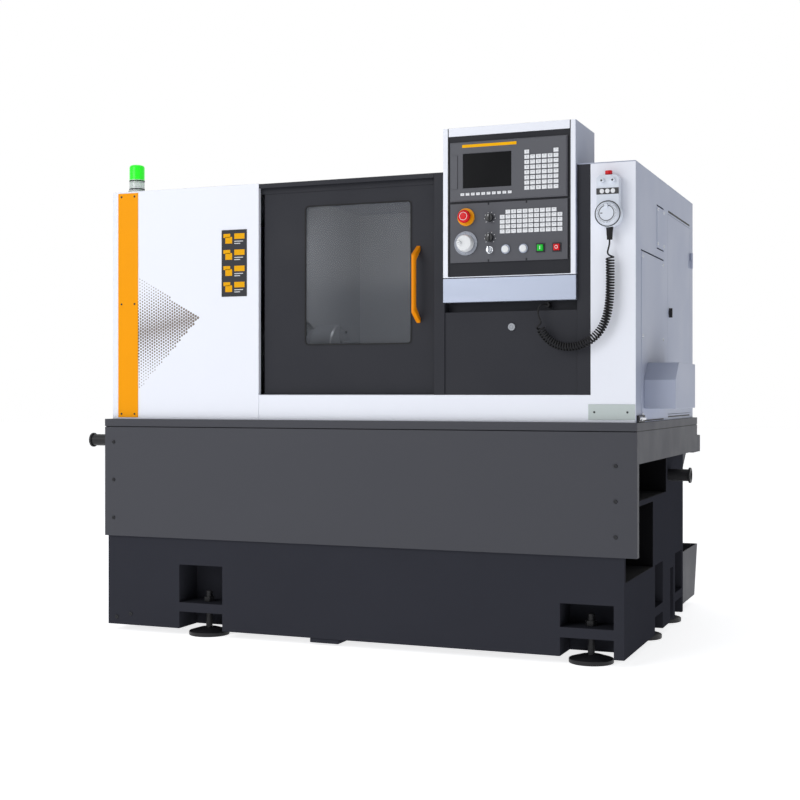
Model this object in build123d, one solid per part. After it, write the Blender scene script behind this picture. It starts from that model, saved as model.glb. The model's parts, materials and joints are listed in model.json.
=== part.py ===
from build123d import *
import os
from math import atan2, cos, degrees, pi, radians, sin, tan

# A computer-controlled turning lathe, in millimetres. The model is laid out with X to the right from the
# middle of the apron, Y to the back from the apron's front face and Z up from the floor.

# Common allowances
sheet = 3.0
overrun = 5.0
edge_gap = 0.5
slide_gap = 0.3
running_fit = 0.05

# Flats on small round pieces: fine for rims, medium for caps and coarse for stubs
fine_sides = 36
cap_sides = 24
stub_sides = 12
cord_sides = 8

# Base
base_bottom = 25.0
base_front = 12.0
base_depth = 1088.0
base_inset_left = 8.0
base_inset_right = 45.0
base_wall = 20.0
chip_bay_back = 490.0
chip_bay_bottom = 275.0
chip_bay_top = 510.0
upper_bay_back = 740.0
upper_bay_bottom = 527.0
upper_bay_top = 665.0

# Foot pockets in the base and the levelling feet that stand in them
pocket_width = 181.0
pocket_bar_bottom = 88.0
pocket_bar_height = 34.0
pocket_top_left = 262.0
pocket_top_right = 201.0
pocket_left_x = -607.0
pocket_right_x = 844.0
side_pocket_y = 601.0
side_pocket_width = 149.0
side_pocket_top = 275.0
rear_pocket_inset = 100.0
side_slot_y = 857.0
side_slot_width = 65.0
side_slot_top = 230.0
pocket_depth = 130.0
foot_pad_radius = 75.0
foot_pad_height = 14.0
foot_cone_radius = 34.0
foot_cone_height = 12.0
foot_stud_radius = 12.0
foot_stud_above_nut = 22.0
foot_nut_radius = 21.0
foot_nut_height = 18.0

# Apron, its side skirts and the rear trough
apron_width = 2028.0
apron_bottom = 360.0
apron_top = 770.0
apron_return = 30.0
skirt_bottom = 665.0
skirt_overhang = 70.0
trough_width = 160.0
trough_bottom = 660.0
trough_top = 727.0
trough_left = -900.0
gusset_drop = 60.0
gusset_reach = 80.0

# Drip ledge
ledge_gap = 3.0
ledge_gap_inset = 12.0
ledge_thickness = 27.0
ledge_rim = 60.0

# Drain pipe stubs
left_pipe_radius = 22.0
left_pipe_reach = 95.0
left_pipe_y = 60.0
left_pipe_z = 718.0
left_pipe_bore = 17.0
right_pipe_radius = 22.5
right_pipe_reach = 85.0
right_pipe_y = 790.0
right_pipe_z = 588.0
right_pipe_bore = 17.5
pipe_flange_radius = 29.0
pipe_flange_length = 8.0
pipe_collar_radius = 27.0

# Coolant tank and pump
tank_left = -500.0
tank_right = 960.0
tank_depth = 400.0
tank_bottom = 36.0
tank_top = 255.0
tank_rim = 18.0
tank_skid_width = 40.0
tank_lean = 12.0
pump_x = -330.0
pump_plate = 200.0
pump_plate_thickness = 6.0
pump_motor_radius = 62.0
pump_motor_height = 190.0
pump_cap_radius = 56.0
pump_cap_height = 22.0
pump_well_radius = 45.0
pump_floor_gap = 40.0

# Enclosure
enclosure_inset_left = 14.0
enclosure_inset_right = 9.0
enclosure_front = 20.0
enclosure_depth = 1095.0
enclosure_top = 1655.0
corner_radius = 18.0
left_cover_width = 629.0
left_cover_top = 1657.0
left_cover_lip = 18.0
strip_left_inset = 33.0
strip_width = 87.0
strip_thickness = 2.0
strip_end_inset = 6.0
front_strip_top = 891.0
right_panel_width = 150.0
frame_return = 40.0
roof_lip = 16.0
vent_count = 7
vent_length = 220.0
vent_height = 9.0
vent_pitch = 26.0
vent_x = -690.0
vent_bottom = 1150.0

# Signal lamp
lamp_x = -920.0
lamp_y = 75.0
lamp_radius = 28.5
lamp_base_height = 52.0
lamp_foot_radius = 33.0
lamp_foot_height = 10.0
lamp_lens_height = 56.0
lamp_top_radius = 25.0
lamp_top_height = 6.0

# Sliding door
door_left = -360.0
door_right = 305.0
door_bottom = 893.0
door_top = 1636.0
door_front = 45.0
door_thickness = 25.0
window_left = -194.0
window_right = 211.0
window_bottom = 1072.0
window_top = 1566.0
window_corner = 12.0
window_lap = 14.0
pane_thickness = 6.0
door_travel = 580.0
track_width = 12.0
track_lip = 16.0
track_margin = 20.0
handle_x = 240.0
handle_bottom = 1140.0
handle_top = 1410.0
handle_width = 36.0
handle_reach = 58.0
handle_bar = 24.0
handle_slant = 38.0
handle_foot = 26.0
handle_chamfer = 9.0

# Chamber lining
guard_left = -365.0
guard_front = 80.0
guard_back = 930.0
guard_right = 790.0
guard_bed_gap = 4.0
guard_chuck_gap = 14.0

# Slant bed
bed_angle = 30.0
bed_left = -640.0
bed_right = 780.0
bed_front = 302.0
bed_back = 880.0
bed_slope_top = 330.0
centre_over_bed = 180.0
way_width = 34.0
way_height = 28.0
way_low = -120.0
way_high = 180.0

# Spindle line
spindle_y = 400.0
spindle_z = 1060.0
headstock_length = 270.0
headstock_foot = 170.0
headstock_cheek = 140.0
headstock_waist = 60.0
headstock_crown = 130.0
headstock_crown_half = 70.0
headstock_bore = 62.0
bearing_length = 46.0
spindle_radius = 50.0
spindle_tail_radius = 42.0
spindle_bore = 26.0
spindle_collar_radius = 60.0
spindle_flange_radius = 85.0
spindle_flange_length = 30.0
spindle_nose_length = 70.0
spindle_tail_length = 220.0
chuck_radius = 100.0
chuck_length = 85.0
chuck_bore = 28.0
chuck_chamfer = 5.0
jaw_count = 3
jaw_width = 25.4
jaw_slot_depth = 22.0
jaw_inner = 38.0
jaw_outer = 94.0
jaw_height = 33.0
jaw_slot_inner = 30.0
jaw_step_radius_shares = (0.25, 0.57)
jaw_step_height_shares = (0.28, 0.64)

# Spindle drive
pulley_offset = 65.0
pulley_width = 50.0
pulley_radius = 80.0
pulley_flange = 7.0
pulley_flange_width = 4.0
motor_pulley_radius = 64.0
motor_y = 985.0
motor_z = 900.0
motor_size = 190.0
motor_chamfer = 24.0
motor_right = -370.0
motor_shaft_radius = 19.0
motor_shaft_depth = 60.0
motor_cowl_inset = 12.0
motor_cowl_length = 70.0
belt_thickness = 6.0

# Carriage
saddle_left = 240.0
saddle_length = 240.0
saddle_low = -150.0
saddle_high = 400.0
saddle_lift = 34.0
saddle_thickness = 46.0
saddle_shoe = 16.0
z_screw_radius = 12.5
z_screw_slope = -40.0
z_screw_lift = 20.0
z_nut_half = 25.0
z_nut_length = 90.0
z_support_length = 30.0
z_bracket_length = 80.0
z_motor_size = 100.0
z_motor_length = 232.0
z_motor_nose = 40.0
coupling_room = 60.0
x_way_width = 20.0
x_way_height = 18.0
x_way_inset = 30.0
x_screw_radius = 8.0
x_screw_lift = 12.0
x_support_length = 25.0
x_support_width = 44.0
x_support_height = 22.0
x_nut_length = 60.0
x_nut_width = 44.0
x_motor_size = 80.0
x_motor_length = 118.0
slide_low = 150.0
slide_high = 400.0
slide_lift = 4.0
slide_top = 60.0
slide_screw_tunnel = 52.0

# Turret
turret_slope = 330.0
turret_sides = 8
turret_radius = 105.0
turret_thickness = 58.0
turret_gap = 4.0
turret_shaft_radius = 40.0
turret_shaft_length = 90.0
turret_body_low = 250.0
turret_body_height = 120.0
turret_body_length = 210.0
turret_body_chamfer = 20.0
turret_hub_radius = 44.0
turret_hub_height = 10.0
tool_count = 4
tool_reach = 145.0
tool_width = 25.0
tool_depth = 24.0
tool_overlap = 62.0
tool_tip_length = 16.0

# Control column
column_left = 306.0
post_left_width = 39.0
cabinet_width = 465.0
post_right_width = 45.0
post_depth = 60.0
cabinet_front = 4.0
cabinet_depth = 260.0
cabinet_bottom = 1290.0
cabinet_top = 1800.0
cabinet_stile = 19.0
cabinet_header = 29.0
panel_lap = 9.0
unit_width = 410.0
unit_proud = 11.0
display_bottom = 1547.5
display_height = 201.5
display_corner = 4.0
screen_left = 419.0
screen_width = 172.0
screen_bottom = 1591.0
screen_height = 118.0
screen_recess = 4.0
card_left = 377.0
card_width = 23.0
card_bottom = 1590.0
card_height = 113.0
card_proud = 3.0
operator_bottom = 1340.0
operator_height = 200.0
operator_proud = 6.0

# Keys on the display unit and the operator panel
key_proud = 3.0
soft_key_count = 10
soft_key_left = 412.0
soft_key_pitch = 18.6
soft_key_width = 13.0
soft_key_height = 9.0
soft_key_z = 1570.5
letter_columns = 6
letter_rows = 8
letter_left = 637.0
letter_top = 1708.0
letter_pitch_x = 20.0
letter_pitch_z = 17.2
letter_width = 16.5
letter_height = 13.0
mode_columns = 11
mode_rows = 5
mode_left = 550.0
mode_top = 1512.0
mode_pitch_x = 19.9
mode_pitch_z = 16.4
mode_width = 16.5
mode_height = 13.0

# Push buttons, knobs and the handwheel on the operator panel
button_x_values = (570.0, 632.0, 690.5, 746.5)
button_z = 1380.0
button_collar = 15.5
button_radius = 12.0
button_proud = 7.0
button_hole_depth = 9.0
button_collar_proud = 3.0
button_travel = 3.0
square_button = 21.0
square_collar = 30.0
knob_x = 514.0
knob_z_values = (1488.0, 1420.5)
knob_radius = 13.5
knob_height = 18.0
knob_pointer = 5.0
key_x = 513.0
key_radius = 9.0
key_height = 8.0
key_bow_width = 4.0
key_bow_height = 20.0
key_bow_reach = 16.0
spindle_stub_radius = 4.0
stub_depth = 10.0
stop_x = 430.0
stop_z = 1494.0
stop_ring_radius = 30.0
stop_ring_proud = 6.0
stop_radius = 22.0
stop_neck_radius = 13.0
stop_neck_length = 14.0
stop_cap_height = 14.0
stop_crown = 6.0
stop_travel = 5.0
wheel_x = 429.0
wheel_z = 1405.0
dial_ring_radius = 41.0
dial_ring_proud = 4.0
wheel_radius = 30.0
wheel_height = 22.0
wheel_top_radius = 25.0
wheel_grip_radius = 7.0
wheel_grip_height = 14.0
wheel_grip_offset = 15.0

# Silver panel, slot and lower panel under the cabinet
name_panel_bottom = 1206.0
name_panel_top = 1287.0
name_panel_depth = 30.0
slot_bottom = 1173.0
slot_back = 60.0
lower_panel_front = 24.0
lock_x = 584.0
lock_z = 1120.0
lock_radius = 13.0
lock_proud = 5.0
lock_slot_width = 3.0

# Right side of the enclosure
electrical_front = 580.0
electrical_back = 1049.0
electrical_bottom = 820.0
electrical_top = 1549.0
electrical_gap = 1.5
electrical_return = 14.0
electrical_box_left = 800.0
electrical_box_front = 562.0
electrical_box_back = 1108.0
electrical_box_bottom = 806.0
electrical_box_top = 1560.0
drive_count = 4
drive_width = 90.0
drive_height = 300.0
drive_depth = 120.0
drive_pitch = 118.0
drive_bottom = 1130.0
hinge_radius = 6.0
hinge_pin_radius = 3.0
hinge_length = 60.0
hinge_leaf = 26.0
hinge_z_values = (950.0, 1420.0)
latch_y = 606.0
latch_z = 1190.0
latch_radius = 11.0
latch_proud = 4.0
latch_grip_length = 34.0
latch_grip_width = 7.0
latch_grip_proud = 12.0
small_cover_front = 374.0
small_cover_back = 502.0
small_cover_bottom = 1410.0
small_cover_top = 1550.0
large_cover_front = 106.0
large_cover_bottom = 810.0
large_cover_top = 1367.0
cover_thickness = 2.0
finger_slot = 5.0
motor_window = 104.0
hood_front = 144.0
hood_back = 530.0
hood_bottom = 845.0
hood_nose_top = 941.0
hood_top = 1000.0
hood_slant = 62.0
hood_reach = 105.0

# Hand-held pendant
pendant_x = 923.0
pendant_bottom = 1480.0
pendant_top = 1605.0
pendant_half_width = 37.0
pendant_back = 8.0
pendant_thickness = 35.0
pendant_round = 44.0
pendant_dial_z = 1479.0
pendant_dial_radius = 39.0
pendant_dial_height = 17.0
pendant_dial_top = 34.0
pendant_hub_radius = 10.0
pendant_grip_offset = 24.0
pendant_grip_radius = 6.0
pendant_grip_height = 8.0
pendant_knob_radius = 8.0
pendant_knob_height = 12.0
pendant_knob_offset = 18.0
pendant_knob_z = 1586.0
pendant_band_z = 1552.0
pendant_band_height = 20.0
pendant_band_proud = 2.0
pendant_hook_width = 36.0
pendant_hook_height = 50.0
pendant_hook_bottom = 1540.0
pendant_stop_radius = 12.0
pendant_stop_height = 12.0
pendant_stop_stem = 8.0
pendant_stop_travel = 3.0
gland_top_radius = 12.0
gland_low_radius = 9.0
slot_gland_radius = 9.0

# Curly cord: the coil's outer diameter, the plain tail's diameter and the route of each
curl_radius = 15.0
tail_radius = 2.75
arc_share = 0.49
curl_route = [
    (926, -10, 1396),
    (927, -10, 1348),
    (928, -11, 1298),
    (928, -11, 1247),
    (926, -12, 1195),
    (917, -12, 1144),
    (894, -12, 1096),
    (851, -11, 1061),
    (798, -10, 1047),
    (748, -9, 1054),
    (707, -9, 1084),
    (685, -8, 1127),
    (684, -8, 1169),
]
tail_route = [
    (684.1, -7.8, 1169.8),
    (685.4, -5.5, 1179.6),
    (688.9, 0.6, 1188),
    (693.9, 9.2, 1192.7),
    (699.4, 18.9, 1193.2),
    (704.9, 28.3, 1192.5),
]

# Faces and edges worked out from the sizes above
apron_half = apron_width / 2
base_left = -apron_half + base_inset_left
base_right = apron_half - base_inset_right
ledge_bottom = apron_top + ledge_gap
ledge_top = ledge_bottom + ledge_thickness
enclosure_left = -apron_half + enclosure_inset_left
enclosure_right = apron_half - enclosure_inset_right
enclosure_back = enclosure_front + enclosure_depth
base_back = base_front + base_depth
rear_pocket_y = base_back - rear_pocket_inset
tank_front = base_back
tank_back = tank_front + tank_depth
skirt_back = base_back + skirt_overhang
trough_back = base_back + trough_width
left_cover_right = enclosure_left + left_cover_width
roof_bottom = enclosure_top - sheet
door_back = door_front + door_thickness
cabinet_left = column_left + post_left_width
cabinet_right = cabinet_left + cabinet_width
cabinet_back = cabinet_front + cabinet_depth
column_right = cabinet_right + post_right_width
panel_back = cabinet_front + sheet
unit_left = (cabinet_left + cabinet_right - unit_width) / 2
unit_right = unit_left + unit_width
operator_face = panel_back - operator_proud
display_face = panel_back - unit_proud
headstock_left = bed_left
headstock_right = bed_left + headstock_length
spindle_nose = headstock_right + spindle_nose_length
chuck_face = spindle_nose + chuck_length
pulley_right = headstock_left - pulley_offset
pulley_left = pulley_right - pulley_width
saddle_right = saddle_left + saddle_length
saddle_top = saddle_lift + saddle_thickness
slide_bottom = saddle_top + slide_lift
slide_face = saddle_top + slide_top
turret_left = saddle_left - turret_gap - turret_thickness
side_face = enclosure_right
cover_face = side_face + cover_thickness
pendant_front = pendant_back - pendant_thickness
pendant_middle = pendant_back - pendant_thickness / 2
screw_middle_x = saddle_left + saddle_length / 2

# The part's origin lies under the middle of its bounding box: the left pipe and the motor hood end it in
# X, the grip of the pendant's dial and the tank end it in Y.
dial_front = pendant_front - slide_gap - pendant_dial_height - pendant_grip_height
origin_x = (cover_face + hood_reach - apron_half - left_pipe_reach) / 2
origin_y = (tank_back + dial_front) / 2

RIGHT = (1, 0, 0)
FRONT = (0, -1, 0)
BACK = (0, 1, 0)
UP = (0, 0, 1)
DOWN = (0, 0, -1)

# The bed's sloping plane, with X along the bed, Y up the slope and Z square to it.
slope_sine = sin(radians(bed_angle))
slope_cosine = cos(radians(bed_angle))
bed_y = spindle_y + centre_over_bed * slope_sine
bed_z = spindle_z - centre_over_bed * slope_cosine
slope = Plane((0, bed_y, bed_z), x_dir=RIGHT, z_dir=(0, -slope_sine, slope_cosine))


def export(node, *solids):
    """Write one piece, or a group of like pieces, about the part's origin."""
    shape = solids[0] if len(solids) == 1 else Compound(children=list(solids))
    export_step(Pos(-origin_x, -origin_y, 0) * shape, f"parts/{node}.step")


def block(x0, x1, y0, y1, z0, z1):
    """A square-edged block between two opposite corners."""
    corner = (Align.MIN, Align.MIN, Align.MIN)
    return Pos(x0, y0, z0) * Box(x1 - x0, y1 - y0, z1 - z0, align=corner)


def rod(radius, start, axis, length):
    """A plain round bar from a start point along an axis."""
    return extrude(Plane(start, z_dir=axis) * Circle(radius), length)


def prism(sides, radius, start, axis, length):
    """A bar of regular section from a start point along an axis."""
    return extrude(Plane(start, z_dir=axis) * RegularPolygon(radius, sides), length)


def faceted(sides, points, start, axis):
    """A small turned piece made in flats, its (radius, height) stations joined by straight sides."""
    plane = Plane(start, z_dir=axis)
    piece = None
    for (radius, height), (next_radius, next_height) in zip(points, points[1:]):
        if next_height > height:
            foot = plane.offset(height) * RegularPolygon(radius, sides)
            lean = degrees(atan2((radius - next_radius) * cos(pi / sides), next_height - height))
            length = extrude(foot, next_height - height, taper=lean)
            piece = length if piece is None else piece + length
    return piece


def stub_hole(sides, radius, start, axis, length):
    """A hole of few flats in which a stub of that radius turns freely."""
    return prism(sides, (radius + running_fit) / cos(pi / sides), start, axis, length)


def turned(points, start, axis):
    """A turned piece: (radius, height) points spun about an axis through a start point."""
    profile = make_face(Polyline(*points, close=True))
    return Plane(start, z_dir=axis) * revolve(Plane.XZ * profile, Axis.Z)


def side_profile(points, x0, x1):
    """A (Y, Z) outline pulled along X."""
    plane = Plane((x0, 0, 0), x_dir=BACK, z_dir=RIGHT)
    return extrude(plane * make_face(Polyline(*points, close=True)), x1 - x0)


def tray(x0, x1, y0, y1, z0, z1, wall):
    """A folded sheet tray: a front face with four returns, open to the back."""
    inside = block(x0 + wall, x1 - wall, y0 + wall, y1 + overrun, z0 + wall, z1 - wall)
    return block(x0, x1, y0, y1, z0, z1) - inside


def rounded_window(x0, x1, z0, z1, radius, y0, y1):
    """A block with rounded corners in the front view, for a window cut or its pane."""
    face = Pos((x0 + x1) / 2, (z0 + z1) / 2) * RectangleRounded(x1 - x0, z1 - z0, radius)
    return extrude(Plane.XZ.offset(-y0) * face, -(y1 - y0))


os.makedirs("parts", exist_ok=True)

# Base: an iron box bolted up from a front wall, a plinth, a left wall, two cores, a shelf and a deck, with two
# long chip bays open at the right end, a well over them that takes the chips from the chamber, foot pockets
# with a bar across each that carries a levelling foot, and drain holes.
inner_left = base_left + base_wall
inner_front = base_front + base_wall
base = block(base_left, base_right, base_front, base_back, base_bottom, apron_top)
base -= block(
    inner_left, base_right + overrun, inner_front, chip_bay_back, chip_bay_bottom, chip_bay_top
)
base -= block(
    inner_left, base_right + overrun, inner_front, upper_bay_back, upper_bay_bottom, upper_bay_top
)
base -= block(
    headstock_right + base_wall, bed_right, inner_front, bed_front - base_wall,
    upper_bay_top - overrun, apron_top + overrun,
)
bar_top = pocket_bar_bottom + pocket_bar_height
foot_places = []
for pocket_x, pocket_top in ((pocket_left_x, pocket_top_left), (pocket_right_x, pocket_top_right)):
    x0 = pocket_x - pocket_width / 2
    x1 = pocket_x + pocket_width / 2
    pocket_back = base_front + pocket_depth
    base -= block(x0, x1, 0, pocket_back, bar_top, pocket_top)
    base -= block(x0, x1, 0, pocket_back, 0, pocket_bar_bottom)
    foot_places.append((pocket_x, base_front + pocket_depth / 2))
for pocket_y in (side_pocket_y, rear_pocket_y):
    y0 = pocket_y - side_pocket_width / 2
    y1 = pocket_y + side_pocket_width / 2
    for wall_x, inward in ((base_right, -1), (base_left, 1)):
        pocket_ends = sorted((wall_x - inward * overrun, wall_x + inward * pocket_depth))
        base -= block(*pocket_ends, y0, y1, bar_top, side_pocket_top)
        base -= block(*pocket_ends, y0, y1, 0, pocket_bar_bottom)
        foot_places.append((wall_x + inward * pocket_depth / 2, pocket_y))
base -= block(
    base_right - base_wall, base_right + overrun, side_slot_y - side_slot_width / 2,
    side_slot_y + side_slot_width / 2, 0, side_slot_top,
)
for foot_x, foot_y in foot_places:
    base -= prism(stub_sides, foot_stud_radius + edge_gap, (foot_x, foot_y, 0), UP, bar_top + overrun)
for pipe_bore, outer_x, inward, drain_y, drain_z in (
    (left_pipe_bore, base_left, 1, left_pipe_y, left_pipe_z),
    (right_pipe_bore, base_right, -1, right_pipe_y, right_pipe_z),
):
    hole_start = min(outer_x - inward * overrun, outer_x + inward * (base_wall + overrun))
    base -= rod(pipe_bore, (hole_start, drain_y, drain_z), RIGHT, base_wall + 2 * overrun)
base -= block(
    inner_left, inner_left + 2 * left_pipe_radius, left_pipe_y - left_pipe_radius,
    left_pipe_y + left_pipe_radius, upper_bay_top - overrun, left_pipe_z + left_pipe_radius,
)
base -= block(
    base_right - base_wall - 2 * right_pipe_radius, base_right - base_wall, upper_bay_back - overrun,
    right_pipe_y + right_pipe_radius, right_pipe_z - right_pipe_radius, right_pipe_z + right_pipe_radius,
)
front_wall = base & block(base_left, base_right, base_front, inner_front, base_bottom, apron_top)
plinth = base & block(base_left, base_right, inner_front, base_back, base_bottom, chip_bay_bottom)
left_wall = base & block(base_left, inner_left, inner_front, base_back, chip_bay_bottom, upper_bay_top)
lower_core = base & block(inner_left, base_right, chip_bay_back, base_back, chip_bay_bottom, chip_bay_top)
shelf = base & block(inner_left, base_right, inner_front, base_back, chip_bay_top, upper_bay_bottom)
upper_core = base & block(inner_left, base_right, upper_bay_back, base_back, upper_bay_bottom, upper_bay_top)
deck = base & block(base_left, base_right, inner_front, base_back, upper_bay_top, apron_top)
export("base", front_wall, plinth, left_wall, lower_core, shelf, upper_core, deck)

# Levelling feet: a round pad, a coned seat and a stud whose nut bears on the pocket's bar.
feet = []
stud_top = bar_top + foot_nut_height + foot_stud_above_nut
for foot_x, foot_y in foot_places:
    pad_top = foot_pad_height + foot_cone_height
    foot = faceted(
        cap_sides,
        [(foot_pad_radius, 0), (foot_pad_radius, foot_pad_height), (foot_cone_radius, pad_top)],
        (foot_x, foot_y, 0),
        UP,
    )
    foot += prism(stub_sides, foot_stud_radius, (foot_x, foot_y, 0), UP, stud_top)
    foot += prism(6, foot_nut_radius, (foot_x, foot_y, bar_top), UP, foot_nut_height)
    feet.append(foot)
export("levelling_feet", *feet)

# Apron: a folded sheet front with short returns, a skirt along each side, and a trough with its gusset
# at the back.
apron = block(-apron_half, apron_half, 0, sheet, apron_bottom, apron_top)
apron += block(-apron_half, apron_half, 0, base_front, apron_bottom, apron_bottom + sheet)
for side_x in (-apron_half, apron_half - sheet):
    apron += block(side_x, side_x + sheet, 0, apron_return, apron_bottom, apron_top)
left_skirt = block(-apron_half, -apron_half + sheet, apron_return, skirt_back, skirt_bottom, apron_top)
left_skirt -= rod(
    left_pipe_radius + edge_gap, (-apron_half - overrun, left_pipe_y, left_pipe_z), RIGHT, sheet + 2 * overrun
)
right_skirt = block(apron_half - sheet, apron_half, apron_return, skirt_back, skirt_bottom, apron_top)
trough = block(trough_left, apron_half - sheet, base_back, trough_back, trough_bottom, trough_top)
trough -= block(
    trough_left + sheet, apron_half - 2 * sheet, base_back + sheet, trough_back - sheet,
    trough_bottom + sheet, trough_top + overrun,
)
gusset_outline = [
    (base_back, trough_bottom),
    (base_back + gusset_reach, trough_bottom),
    (base_back, trough_bottom - gusset_drop),
]
gusset = side_profile(gusset_outline, base_right - sheet, base_right)
export("apron", apron, left_skirt, right_skirt, trough, gusset)

# Drip ledge: a thick plate under the enclosure with a shadow step below it, open over the bed and chip well.
ledge = block(-apron_half, apron_half, 0, skirt_back, ledge_bottom, ledge_top)
ledge += block(
    -apron_half + ledge_gap_inset, apron_half - ledge_gap_inset, ledge_gap_inset,
    skirt_back - ledge_gap_inset, apron_top, ledge_bottom,
)
ledge -= block(
    headstock_right + base_wall, bed_right, ledge_rim, bed_front, apron_top - overrun, ledge_top + overrun
)
ledge -= block(
    bed_left - edge_gap, bed_right + edge_gap, bed_front - edge_gap, bed_back + edge_gap,
    apron_top - overrun, ledge_top + overrun,
)
export("ledge", ledge)

# Drain pipe stubs: one through the left skirt with a collar, one on the base's right end with a hose flange.
left_pipe_end = apron_half + left_pipe_reach
left_pipe_length = left_pipe_reach + base_inset_left
left_pipe_start = (-left_pipe_end, left_pipe_y, left_pipe_z)
left_pipe = faceted(
    cap_sides,
    [
        (pipe_collar_radius, 0),
        (pipe_collar_radius, pipe_flange_length),
        (left_pipe_radius, pipe_flange_length),
        (left_pipe_radius, left_pipe_length),
    ],
    left_pipe_start,
    RIGHT,
)
left_pipe -= rod(left_pipe_bore, left_pipe_start, RIGHT, left_pipe_length)
right_pipe_start = (base_right, right_pipe_y, right_pipe_z)
right_pipe = faceted(
    cap_sides,
    [
        (right_pipe_radius, 0),
        (right_pipe_radius, right_pipe_reach - pipe_flange_length),
        (pipe_flange_radius, right_pipe_reach - pipe_flange_length),
        (pipe_flange_radius, right_pipe_reach),
    ],
    right_pipe_start,
    RIGHT,
)
right_pipe -= rod(right_pipe_bore, right_pipe_start, RIGHT, right_pipe_reach)
export("drain_pipes", left_pipe, right_pipe)

# Coolant tank: an open sheet tank on two skids with a turned-out rim, its end leaning out a little.
tank_outline = [
    (tank_left, tank_bottom),
    (tank_right - tank_lean, tank_bottom),
    (tank_right, tank_top),
    (tank_left, tank_top),
]
tank_face = make_face(Polyline(*tank_outline, close=True))
tank_hollow_outline = [
    (tank_left + sheet, tank_bottom + sheet),
    (tank_right - tank_lean - sheet, tank_bottom + sheet),
    (tank_right - sheet, tank_top + overrun),
    (tank_left + sheet, tank_top + overrun),
]
tank_hollow_face = make_face(Polyline(*tank_hollow_outline, close=True))
tank = extrude(Plane.XZ.offset(-tank_front) * tank_face, -tank_depth)
rim = block(
    tank_left - tank_rim, tank_right, tank_front, tank_back, tank_top - sheet, tank_top
)
tank += rim
tank -= extrude(Plane.XZ.offset(-tank_front - sheet) * tank_hollow_face, -(tank_depth - 2 * sheet))
for skid_x in (tank_left + tank_skid_width, tank_right - tank_lean - 2 * tank_skid_width):
    tank += block(skid_x, skid_x + tank_skid_width, tank_front, tank_back, 0, tank_bottom)
export("coolant_tank", tank)

# Coolant pump: an upright motor on a plate across the tank's rim, with its pump well hanging in the tank.
pump_y = (tank_front + tank_back) / 2
pump_top = tank_top + pump_plate_thickness
pump = block(
    pump_x - pump_plate / 2, pump_x + pump_plate / 2, tank_front, tank_back, tank_top, pump_top
)
pump += faceted(
    cap_sides,
    [
        (pump_motor_radius, 0),
        (pump_motor_radius, pump_motor_height),
        (pump_cap_radius, pump_motor_height + pump_cap_height),
    ],
    (pump_x, pump_y, pump_top),
    UP,
)
pump_well_depth = tank_top - tank_bottom - pump_floor_gap
pump += prism(stub_sides, pump_well_radius, (pump_x, pump_y, tank_top), DOWN, pump_well_depth)
export("coolant_pump", pump)

# Left cover: the headstock's sheet hood, a bent front and side with a closed top and a lip beside the door.
left_cover = block(
    enclosure_left, left_cover_right, enclosure_front, enclosure_back, ledge_top, left_cover_top
)
front_edge = left_cover.edges().filter_by(Axis.Z).sort_by(Axis.X)[:2].sort_by(Axis.Y)[0]
left_cover = fillet(front_edge, corner_radius)
left_inside = block(
    enclosure_left + sheet, left_cover_right + overrun, enclosure_front + sheet, enclosure_back + overrun,
    ledge_top - overrun, left_cover_top - sheet,
)
inside_edge = left_inside.edges().filter_by(Axis.Z).sort_by(Axis.X)[:2].sort_by(Axis.Y)[0]
left_cover -= fillet(inside_edge, corner_radius - sheet)
left_cover += block(
    left_cover_right - sheet, left_cover_right, enclosure_front, enclosure_front + left_cover_lip,
    ledge_top, left_cover_top,
)
export("left_cover", left_cover)

# Trim strip: a painted flat strip screwed to the front of the left cover.
strip_left = enclosure_left + strip_left_inset
trim_strip = block(
    strip_left, strip_left + strip_width, enclosure_front - strip_thickness, enclosure_front,
    ledge_top + strip_end_inset, left_cover_top - strip_end_inset,
)
export("trim_strip", trim_strip)

# Signal lamp: a foot and clear base on the left cover's top, with a round lens above.
lamp_base = faceted(
    fine_sides,
    [
        (lamp_foot_radius, 0),
        (lamp_foot_radius, lamp_foot_height),
        (lamp_radius, lamp_foot_height),
        (lamp_radius, lamp_base_height),
    ],
    (lamp_x, lamp_y, left_cover_top),
    UP,
)
export("lamp_base", lamp_base)
lamp_lens = faceted(
    fine_sides,
    [
        (lamp_radius, 0),
        (lamp_radius, lamp_lens_height - lamp_top_height),
        (lamp_top_radius, lamp_lens_height),
    ],
    (lamp_x, lamp_y, left_cover_top + lamp_base_height),
    UP,
)
export("lamp_lens", lamp_lens)

# Front frame: the folded sheet under the door and beside the column, with the door's lower track behind it.
frame_left = left_cover_right + edge_gap
frame_inside = enclosure_front + sheet
track_left = door_left - door_travel - track_margin
track_right = door_right + track_margin
track_middle = (door_front + door_back) / 2
shelf_bottom = front_strip_top - 2 * sheet
front_frame = block(frame_left, side_face, enclosure_front, frame_inside, ledge_top, front_strip_top)
front_frame += block(
    side_face - right_panel_width, side_face, enclosure_front, frame_inside, ledge_top, roof_bottom
)
front_frame += block(
    frame_left, side_face - sheet, enclosure_front, enclosure_front + frame_return,
    ledge_top, ledge_top + sheet,
)
front_frame += block(frame_left, track_right, frame_inside, door_back, shelf_bottom, shelf_bottom + sheet)
front_frame += block(
    track_left, track_right, enclosure_front + left_cover_lip + sheet, door_back,
    shelf_bottom, shelf_bottom + sheet,
)
front_frame += block(
    track_left, track_right, track_middle - track_width / 2, track_middle + track_width / 2,
    shelf_bottom, door_bottom - slide_gap,
)
export("front_frame", front_frame)

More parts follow.
